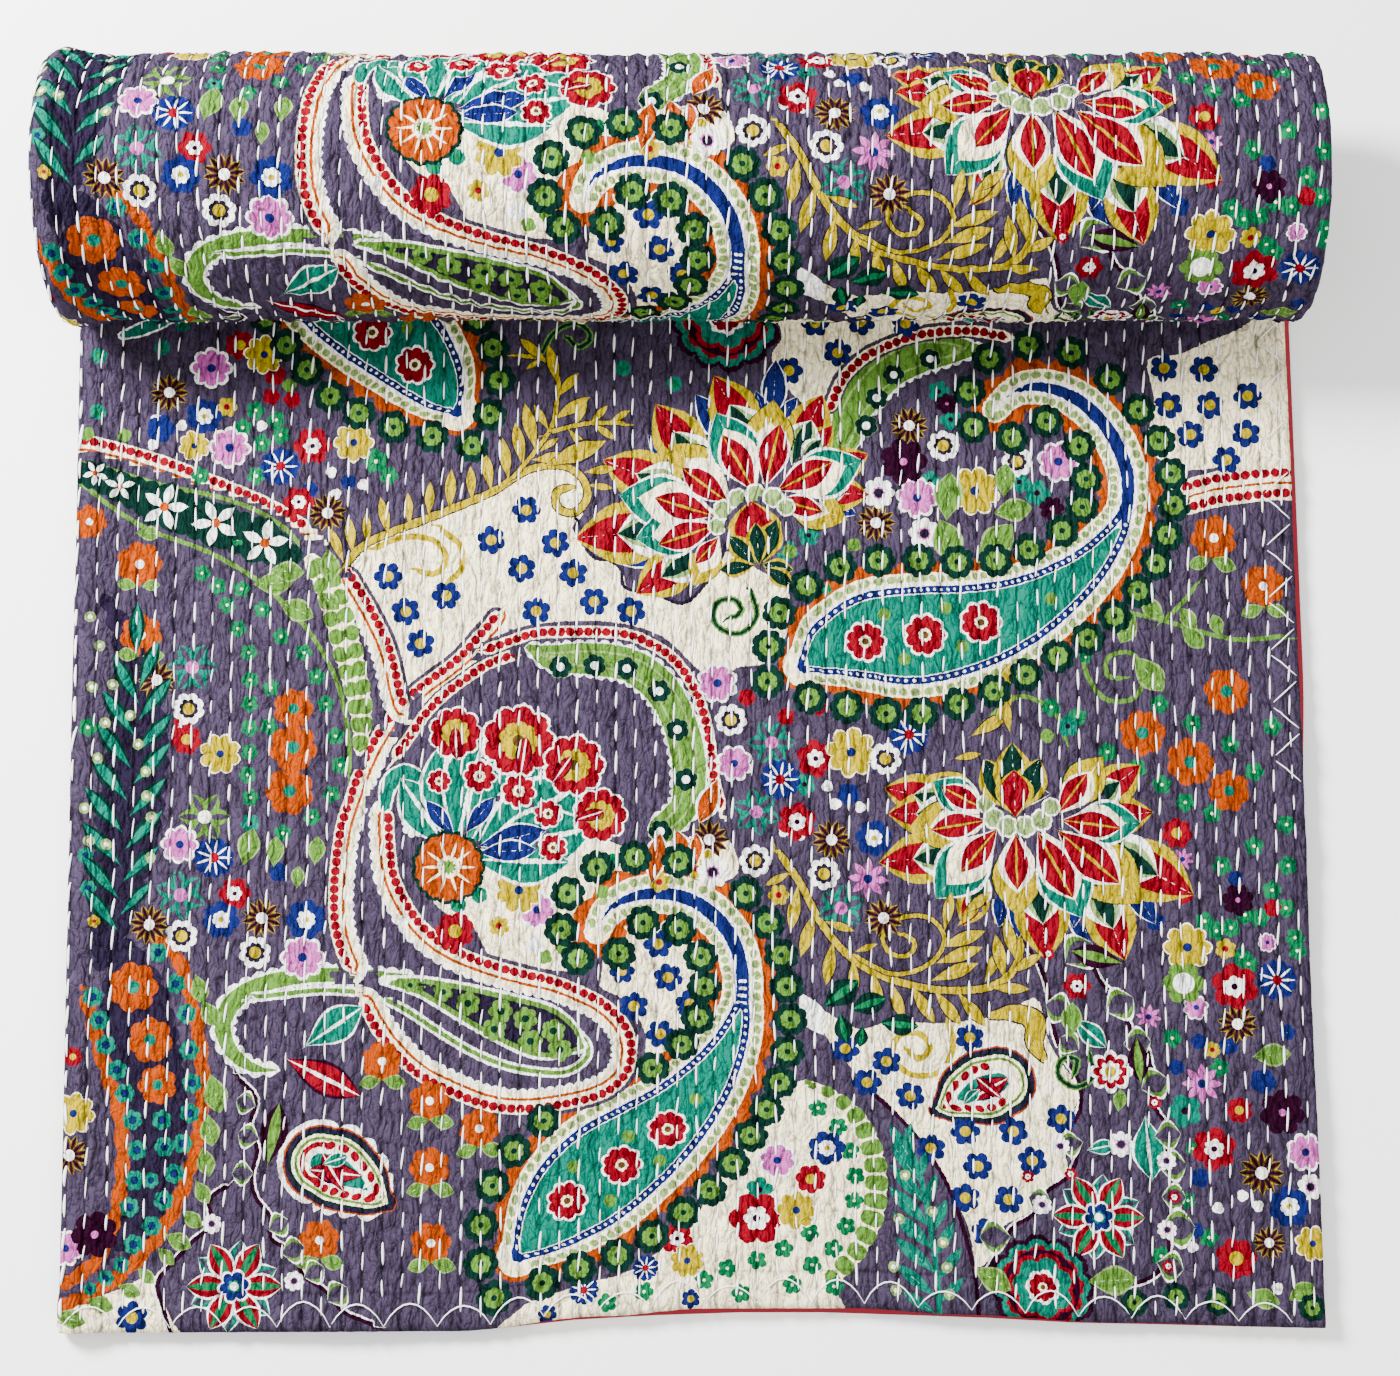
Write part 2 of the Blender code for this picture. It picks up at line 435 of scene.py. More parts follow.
PALETTE: dict[Ink, str] = {
    SLATE: "3a3143",
    CREAM: "fff2c8",
    CRIMSON: "760518",
    ORANGE: "943804",
    YELLOW: "a89202",
    TEAL: "066452",
    BOTTLE: "0a251f",
    LEAF: "50782c",
    ROYAL: "141c54",
    PINK: "b0529a",
    MAROON: "22061a",
    WHITE: "fbfaf6",
    SAGE: "7c9656",
    OLIVE: "50391a",
    SEA: "08623a",
    # A printed ink; where the dusk patches lay it along the left fold it is also painted shade of the fold.
    DUSK: "1f182a",
}


def places(text: str) -> Array:
    """Read places on the print, written as u,v in centimetres, with a third number for a half-width.

    Args:
        text: the places, with spaces between them.

    Returns:
        One row for each place.
    """
    return np.array([[float(number) for number in place.split(",")] for place in text.split()])


def smooth_line(points: Array, step: float = 0.25) -> Array:
    """Draw an even curve through points (Catmull-Rom).

    Args:
        points: the places it goes through, with any further columns eased along with them.
        step: about how far apart its own points are, in centimetres.

    Returns:
        The curve's points.
    """
    padded = np.vstack([2 * points[0] - points[1], points, 2 * points[-1] - points[-2]])
    pieces = []
    for a, b, c, d in zip(padded, padded[1:], padded[2:], padded[3:]):
        count = max(2, int(np.hypot(*(c - b)[:2]) / step))
        t = (np.arange(count) / count)[:, None]
        pieces.append(
            0.5 * (2 * b + (c - a) * t + (2 * a - 5 * b + 4 * c - d) * t**2 + (3 * b - a - 3 * c + d) * t**3)
        )
    return np.vstack([*pieces, points[-1:]])


def nearest_on(line: Array, spots: Array) -> tuple[Array, Array, Array]:
    """Find the nearest place on a curve.

    Args:
        line: the curve, with a third column that is carried along.
        spots: the places to measure from.

    Returns:
        For each spot its distance along the curve, its distance from it (positive on its left) and
        the third column there.
    """
    start, run = line[:-1], np.diff(line, axis=0)
    length = np.maximum(np.hypot(run[:, 0], run[:, 1]), 1e-9)
    before = np.concatenate([[0.0], np.cumsum(length)])
    along, away, carried = [], [], []
    for part in np.array_split(spots, max(1, len(spots) * len(length) // 4_000_000)):
        off = part[:, None, :] - start[None, :, :2]
        share = np.clip((off * run[None, :, :2]).sum(-1) / length**2, 0, 1)
        miss = off - share[..., None] * run[None, :, :2]
        best = np.argmin((miss**2).sum(-1), axis=1)
        pick = np.arange(len(part)), best
        cross = run[best, 0] * off[pick][:, 1] - run[best, 1] * off[pick][:, 0]
        along.append(before[best] + share[pick] * length[best])
        away.append(np.hypot(*miss[pick].T) * np.where(cross >= 0, 1, -1))
        carried.append(start[best, 2] + share[pick] * run[best, 2])
    return np.concatenate(along), np.concatenate(away), np.concatenate(carried)


@dataclass(frozen=True)
class Bloom:
    """A kind of printed flower, leaf or disc. Shares are of its radius."""

    petals: int
    petal_ink: Ink
    eye_ink: Ink = WHITE
    eye: float = 0.0
    core_ink: Ink = WHITE
    core: float = 0.0
    edge_ink: Ink = WHITE
    edge: float = 1.0
    depth: float = 0.2
    loose: bool = False


@dataclass(frozen=True)
class Motif:
    """One bloom on the print: where, how large, and which way it points. In centimetres."""

    bloom: Bloom
    u: float
    v: float
    radius: float
    turn: float = 0.0


@dataclass(frozen=True)
class BandStyle:
    """A band's cross-section: the inks, dots and edges at distances from its line, in centimetres."""

    low: float
    inks: tuple[tuple[float, Ink], ...]
    dots: tuple[tuple[float, float, float, float, Ink], ...] = ()
    scallop_low: tuple[float, float] = (0.0, 1.0)
    scallop_high: tuple[float, float] = (0.0, 1.0)
    outline: bool = False


@dataclass(frozen=True)
class Stroke:
    """One band on the print."""

    style: BandStyle
    line: Array
    plain_after: float


# Where the low edge of a filled band lies, far inside any, and where the plain part of a band that has
# none would start. In centimetres.
FILLED = -9.0
PAST_ANY_END = 1000.0
# A petal's sides are sin(pi * share of its length to this power), so it is widest past its middle.
PETAL_SWELL = 1.2

# inks: (up to this distance, ink). dots: (distance, pitch, radius, stops on the plain part, ink).
PAISLEY = BandStyle(
    FILLED,
    (
        (-0.06, TEAL), (0.0, WHITE), (0.46, ROYAL),
        (0.62, WHITE), (1.32, CREAM), (2.2, ORANGE),
    ),
    ((0.22, 0.46, 0.1, 1.0, WHITE), (0.95, 0.62, 0.25, 0.0, SAGE)),
    scallop_high=(0.6, 2.0),
    outline=True,
)
ROPE = BandStyle(
    -0.6,
    ((-0.36, SLATE), (0.48, CREAM), (0.66, ORANGE), (1.02, CREAM), (1.25, WHITE)),
    ((0.0, 0.56, 0.28, 0.0, CRIMSON),),
    scallop_high=(0.16, 0.62),
)
DOT_ROW = BandStyle(
    -0.6,
    ((-0.36, SLATE), (0.36, CREAM), (0.5, SLATE)),
    ((0.0, 0.56, 0.28, 0.0, CRIMSON),),
)
DOUBLE_ROPE = BandStyle(
    -1.1,
    ((-0.08, CREAM), (0.08, ORANGE), (1.1, CREAM)),
    ((-0.65, 0.6, 0.29, 0.0, CRIMSON), (0.65, 0.6, 0.29, 0.0, CRIMSON)),
)
LEAF_BAND = BandStyle(
    FILLED,
    ((-0.55, LEAF), (-0.42, SAGE), (0.05, LEAF), (0.28, WHITE)),
    scallop_high=(0.2, 0.75),
    outline=True,
)
HOOK = BandStyle(FILLED, ((0.0, LEAF), (0.32, WHITE)), scallop_high=(0.2, 0.8), outline=True)
LEAFY = BandStyle(
    FILLED,
    ((0.1, CREAM),),
    ((-0.35, 1.15, 0.5, 0.0, LEAF),),
    scallop_high=(0.15, 1.15),
    outline=True,
)
SPRIG_LEAF = BandStyle(FILLED, ((-0.3, DUSK), (0.02, LEAF), (0.2, WHITE)), outline=True)
DOUBLE_LINE = BandStyle(-0.3, ((-0.14, WHITE), (0.14, LEAF), (0.3, WHITE)))
YELLOW_LINE = BandStyle(-0.3, ((-0.22, DUSK), (0.22, YELLOW), (0.3, DUSK)))
YELLOW_THIN = BandStyle(-0.2, ((-0.13, DUSK), (0.13, YELLOW), (0.2, DUSK)))
YELLOW_PATCH = BandStyle(FILLED, ((0.0, YELLOW), (0.1, DUSK)), outline=True)
PALE_LINE = BandStyle(-0.19, ((0.19, YELLOW),))
GREEN_LINE = BandStyle(-0.14, ((0.14, LEAF),))
OLIVE_LINE = BandStyle(-0.2, ((-0.1, LEAF), (0.1, BOTTLE), (0.2, LEAF)))
DUSK_LINE = BandStyle(-0.11, ((0.11, DUSK),))
MAROON_LINE = BandStyle(-0.13, ((0.13, MAROON),))
STEM = BandStyle(-0.16, ((0.16, TEAL),))
ORANGE_BAND = BandStyle(-0.45, ((0.5, ORANGE),), scallop_low=(0.15, 0.9), scallop_high=(0.2, 1.7))
GARLAND = BandStyle(-0.13, ((0.13, MAROON), (0.24, WHITE)))
MANGO = BandStyle(
    FILLED,
    (
        (-1.1, TEAL), (-0.85, WHITE), (-0.3, CREAM), (-0.12, LEAF), (0.05, CREAM),
        (0.2, BOTTLE), (0.48, DUSK), (0.6, ORANGE), (0.95, WHITE),
    ),
    ((-0.58, 0.7, 0.27, 0.0, CRIMSON),),
    scallop_high=(0.4, 1.1),
    outline=True,
)
TEAL_BAND = BandStyle(FILLED, ((0.0, TEAL), (0.12, WHITE)), outline=True)
BOTTLE_PATCH = BandStyle(FILLED, ((0.0, BOTTLE),), scallop_high=(0.2, 0.9), outline=True)
# A dusk ground with a scalloped edge. Along the left fold it is partly the print's ground and partly painted
# shade of the fold.
DUSK_GROUND_AND_FOLD_SHADE = BandStyle(FILLED, ((0.0, DUSK),), scallop_high=(0.3, 1.3), outline=True)
STYLES = (
    PAISLEY, ROPE, DOT_ROW, DOUBLE_ROPE, LEAF_BAND, HOOK, LEAFY, SPRIG_LEAF, DOUBLE_LINE, YELLOW_LINE,
    PALE_LINE, YELLOW_THIN, YELLOW_PATCH, GREEN_LINE, OLIVE_LINE, DUSK_LINE, MAROON_LINE, ORANGE_BAND,
    GARLAND, MANGO, TEAL_BAND, DUSK_GROUND_AND_FOLD_SHADE, STEM, BOTTLE_PATCH,
)


def petal(
    ink: Ink, depth: float, rim: Ink = WHITE, edge: float = 1.0, heart: Ink = WHITE, core: float = 0.0
) -> Bloom:
    """A single petal or leaf.

    Args:
        ink: its colour.
        depth: half its width, as a share of its length.
        rim: the ink along its edge.
        edge: the share of the half-width where the rim starts.
        heart: the ink along its middle.
        core: the share of the half-width where that ends.

    Returns:
        The bloom.
    """
    return Bloom(1, ink, core_ink=heart, core=core, edge_ink=rim, edge=edge, depth=depth, loose=True)


# Flowers, discs and dots: petals, ink, eye and its size, ring and its size, rim and where it starts.
CHAIN = Bloom(8, BOTTLE, BOTTLE, 0.16, LEAF, 0.56, depth=0.15)
BLUE = Bloom(6, ROYAL, YELLOW, 0.36, depth=0.30)
ROSETTE = Bloom(9, CRIMSON, OLIVE, 0.16, CREAM, 0.30, WHITE, 0.88, 0.17)
DROPS = Bloom(8, CRIMSON, OLIVE, 0.15, CREAM, 0.34, WHITE, 0.88, 0.22)
ORANGE_FLOWER = Bloom(7, ORANGE, WHITE, 0.2, edge_ink=YELLOW, depth=0.22)
ORANGE_TEAL = Bloom(7, ORANGE, TEAL, 0.26, depth=0.2)
SEA_FLOWER = Bloom(5, SEA, CREAM, 0.16, depth=0.32)
TEAL_FLOWER = Bloom(5, TEAL, MAROON, 0.22, depth=0.32)
TEAL_RING = Bloom(6, TEAL, PINK, 0.26, SLATE, 0.4, depth=0.3, loose=True)
LEAF_RING = Bloom(6, LEAF, WHITE, 0.26, SLATE, 0.4, depth=0.3, loose=True)
TEAL_NAVY = Bloom(6, TEAL, ROYAL, 0.3, BOTTLE, 0.42, depth=0.22)
PINK_FLOWER = Bloom(8, PINK, ROYAL, 0.2, edge_ink=WHITE, edge=0.86, depth=0.22)
PINK_STAR = Bloom(8, PINK, ROYAL, 0.22, depth=0.18, loose=True)
STARBURST = Bloom(12, OLIVE, WHITE, 0.27, MAROON, 0.44, YELLOW, 0.8, 0.17, True)
BLUE_STAR = Bloom(12, ROYAL, CRIMSON, 0.22, depth=0.16)
WHITE_RAYS = Bloom(9, WHITE, CRIMSON, 0.28, depth=0.06, loose=True)
YELLOW_FLOWER = Bloom(8, YELLOW, ROYAL, 0.18, edge_ink=CREAM, edge=0.93, depth=0.26)
YELLOW_SMALL = Bloom(6, YELLOW, CRIMSON, 0.3, depth=0.28)
WHITE_RING = Bloom(8, WHITE, YELLOW, 0.36, DUSK, 0.62, depth=0.2)
PALE_RING = Bloom(8, WHITE, DUSK, 0.3, PINK, 0.42, depth=0.24)
RED_WHITE = Bloom(6, CRIMSON, MAROON, 0.14, WHITE, 0.46, depth=0.28)
RED_YELLOW = Bloom(7, CRIMSON, YELLOW, 0.34, depth=0.22)
RED_STAR = Bloom(8, CRIMSON, YELLOW, 0.26, WHITE, 0.5, WHITE, 0.8, 0.3)
LEAF_WHITE = Bloom(6, LEAF, WHITE, 0.5, depth=0.28)
BLUE_WHITE = Bloom(7, ROYAL, YELLOW, 0.14, WHITE, 0.46, depth=0.22)
MAROON_FLOWER = Bloom(7, MAROON, PINK, 0.16, depth=0.25)
DAISY = Bloom(5, WHITE, ORANGE, 0.2, depth=0.2, loose=True)
DAISY_BACK = Bloom(5, BOTTLE, BOTTLE, 0.4, depth=0.36, loose=True)
POPPY = Bloom(9, CRIMSON, OLIVE, 0.16, YELLOW, 0.52, WHITE, 0.93, 0.16)
ORANGE_DISC = Bloom(15, ORANGE, LEAF, 0.2, CREAM, 0.3, BOTTLE, 0.9, 0.08)
RAYS = Bloom(10, CREAM, LEAF, 0.22, depth=0.05, loose=True)
STAR = Bloom(6, CRIMSON, TEAL, 0.3, SEA, 0.3, WHITE, 0.82, 0.27, True)
STAR_BACK = Bloom(6, TEAL, WHITE, 0.0, SLATE, 0.3, WHITE, 0.78, 0.27, True)
STAR_HEART = Bloom(6, ROYAL, WHITE, 0.25, TEAL, 0.4, WHITE, 0.86, 0.3)
SCALLOP = Bloom(12, TEAL, MAROON, 0.7, CRIMSON, 0.78, MAROON, 0.9, 0.12)
MEDALLION = Bloom(7, TEAL, MAROON, 0.4, WHITE, 0.5, CRIMSON, 0.86, 0.2)
HUB = Bloom(7, SAGE, edge_ink=WHITE, edge=0.8, depth=0.1)
DOT = Bloom(5, TEAL, SEA, 0.5, depth=0.08)
PALE_DOT = Bloom(6, SAGE, WHITE, 0.4, depth=0.05)
WHITE_DOT = Bloom(3, WHITE, depth=0.25)
ROYAL_DOT = Bloom(5, ROYAL, depth=0.2)
RED_DOT = Bloom(5, CRIMSON, depth=0.2)
LEAF_DOT = Bloom(4, LEAF, depth=0.2)
SLATE_DOT = Bloom(9, SLATE, depth=0.04)
SPRIG = Bloom(6, LEAF, BOTTLE, 0.3, depth=0.25)
HEART = Bloom(6, BOTTLE, WHITE, 0.34, edge_ink=SAGE, edge=0.97, depth=0.2)
LEAF_BUD = Bloom(6, LEAF, depth=0.1)

# Petals and leaves.
NOTCH = petal(SAGE, 0.36, WHITE, 0.66, BOTTLE, 0.4)
CREAM_PETAL = petal(CREAM, 0.29)
RED_PETAL = petal(CRIMSON, 0.25, WHITE, 0.84, YELLOW, 0.08)
RIM_PETAL = petal(TEAL, 0.3, WHITE, 0.88)
GOLD_PETAL = petal(YELLOW, 0.3, BOTTLE, 0.93)
YELLOW_PETAL = petal(CRIMSON, 0.27, YELLOW, 0.62)
BLUE_PETAL = petal(ROYAL, 0.2, WHITE, 0.86)
BUD = petal(CRIMSON, 0.4, YELLOW, 0.74)
DARK_GOLD = petal(BOTTLE, 0.28, YELLOW, 0.66)
SLATE_PETAL = petal(SLATE, 0.2, WHITE, 0.86)
TEAL_PETAL = petal(TEAL, 0.26, WHITE, 0.86, WHITE, 0.1)
YELLOW_LEAF = petal(YELLOW, 0.165, DUSK, 0.8)
GREEN_LEAF = petal(LEAF, 0.3, SAGE, 0.8)
WHITE_LEAF = petal(WHITE, 0.24)
ORANGE_LEAF = petal(ORANGE, 0.24, WHITE, 0.75)
FERN = petal(BOTTLE, 0.15, heart=TEAL, core=0.55)
TEAL_LEAF = petal(TEAL, 0.13)
ARC = petal(LEAF, 0.6, WHITE, 0.84, SLATE, 0.55)
DARK_LEAF = petal(BOTTLE, 0.3, heart=SEA, core=0.3)
MAROON_LEAF = petal(MAROON, 0.22, heart=LEAF, core=0.4)
RED_LEAF = petal(CRIMSON, 0.2, MAROON, 0.8, WHITE, 0.12)

# Petals with a smaller one over each, as a share of the first one's length.
NOTCHED = ((YELLOW_PETAL, 1.0), (NOTCH, 0.64))
GOLD_CREAM = ((GOLD_PETAL, 1.0), (CREAM_PETAL, 0.74))
RIM_CREAM = ((RIM_PETAL, 1.0), (CREAM_PETAL, 0.8))


# ---- the print's layout

# Everything here is set out in centimetres: u across from the fold, v along from the front hem.
# A row names what is printed and where. Its places are written u,v with spaces between them, and later
# rows lie over earlier ones.

# The cream parts of the ground.
GROUNDS = (
    "17.2,46.9 18.3,47.9 20,48.6 22,49.4 24.5,50.4 26.5,51.3 28,52.3 29.5,52.8 31,52.7 32,52 32,50"
    " 31.2,49.2 31.7,48.3 32.4,47.2 34.2,46.7 34.7,45.2 36.5,44.9 38.1,44.3 39.6,45.5 40.8,47.6 43,46.3"
    " 44.6,45.4 44.6,42.6 43.2,40.6 41.2,40.2 40.4,38.9 38.6,40.6 36.5,42.4 33,43.2 29,43 27.3,42.7"
    " 26.9,44 26.1,43.9 25.3,43 23.5,41 21.5,39.5 20.9,38.9 20.7,40 20,42 19,44.4 18,46.2",
    "44.8,58 43.8,60 44.5,61.2 44.2,63 45,66 56,66 56.4,63 54,61.9 51,61.2 48.8,59.6 47.6,57.6 46.8,57.2"
    " 45.8,57",
    "67,54 67.8,57 67.5,59.8 69.5,60.2 72.8,61.6 77,63 77,52.9 72,52.9 69.5,52.8",
    "26,22.6 25,24.4 23.6,25 22.5,26.3 23,29 26.3,29 29,29 33.5,29.5 36,27 34,25 32,22 30,21.6",
    "32.8,20.5 33.5,23.5 36,25 38.8,24 39.5,20.5 38.5,17.5 37,15.6 35.6,15.5 35.6,17.5 34.6,19.5",
    "45.6,19.6 48.4,17.8 50.5,18.3 53,18.2 55.5,18.4 57.5,18.9 59.4,19.8 60,17.4 60.8,15.8 61.8,14.3"
    " 61.4,12.6 60.8,10.8 61,9 59.8,7.8 58.6,6.4 57,5.4 56.4,3.8 55.4,2.8 55,5 53.9,7.8 52.6,10.2 51,12.2"
    " 49.3,13.9 47.6,15.8 46.4,17.6",
    "40.6,9.4 42,11.2 43.6,13.6 45.4,14.4 47.3,13.4 48.6,11.6 49.3,9 49.2,6 48.2,3.6 46.6,1.8 46,-1"
    " 27.5,-1 28,1 29.5,1.4 32,2 34.5,2.6 36.8,4 38.8,6",
    "-0.5,-0.8 -0.5,1.3 2,1.9 4,2.6 6,3.4 6.4,2 7,0.9 7.2,-0.8",
    "35,29 37.5,29.6 40.5,29.8 41.3,27.5 39,26.9 36.5,27.2",
)

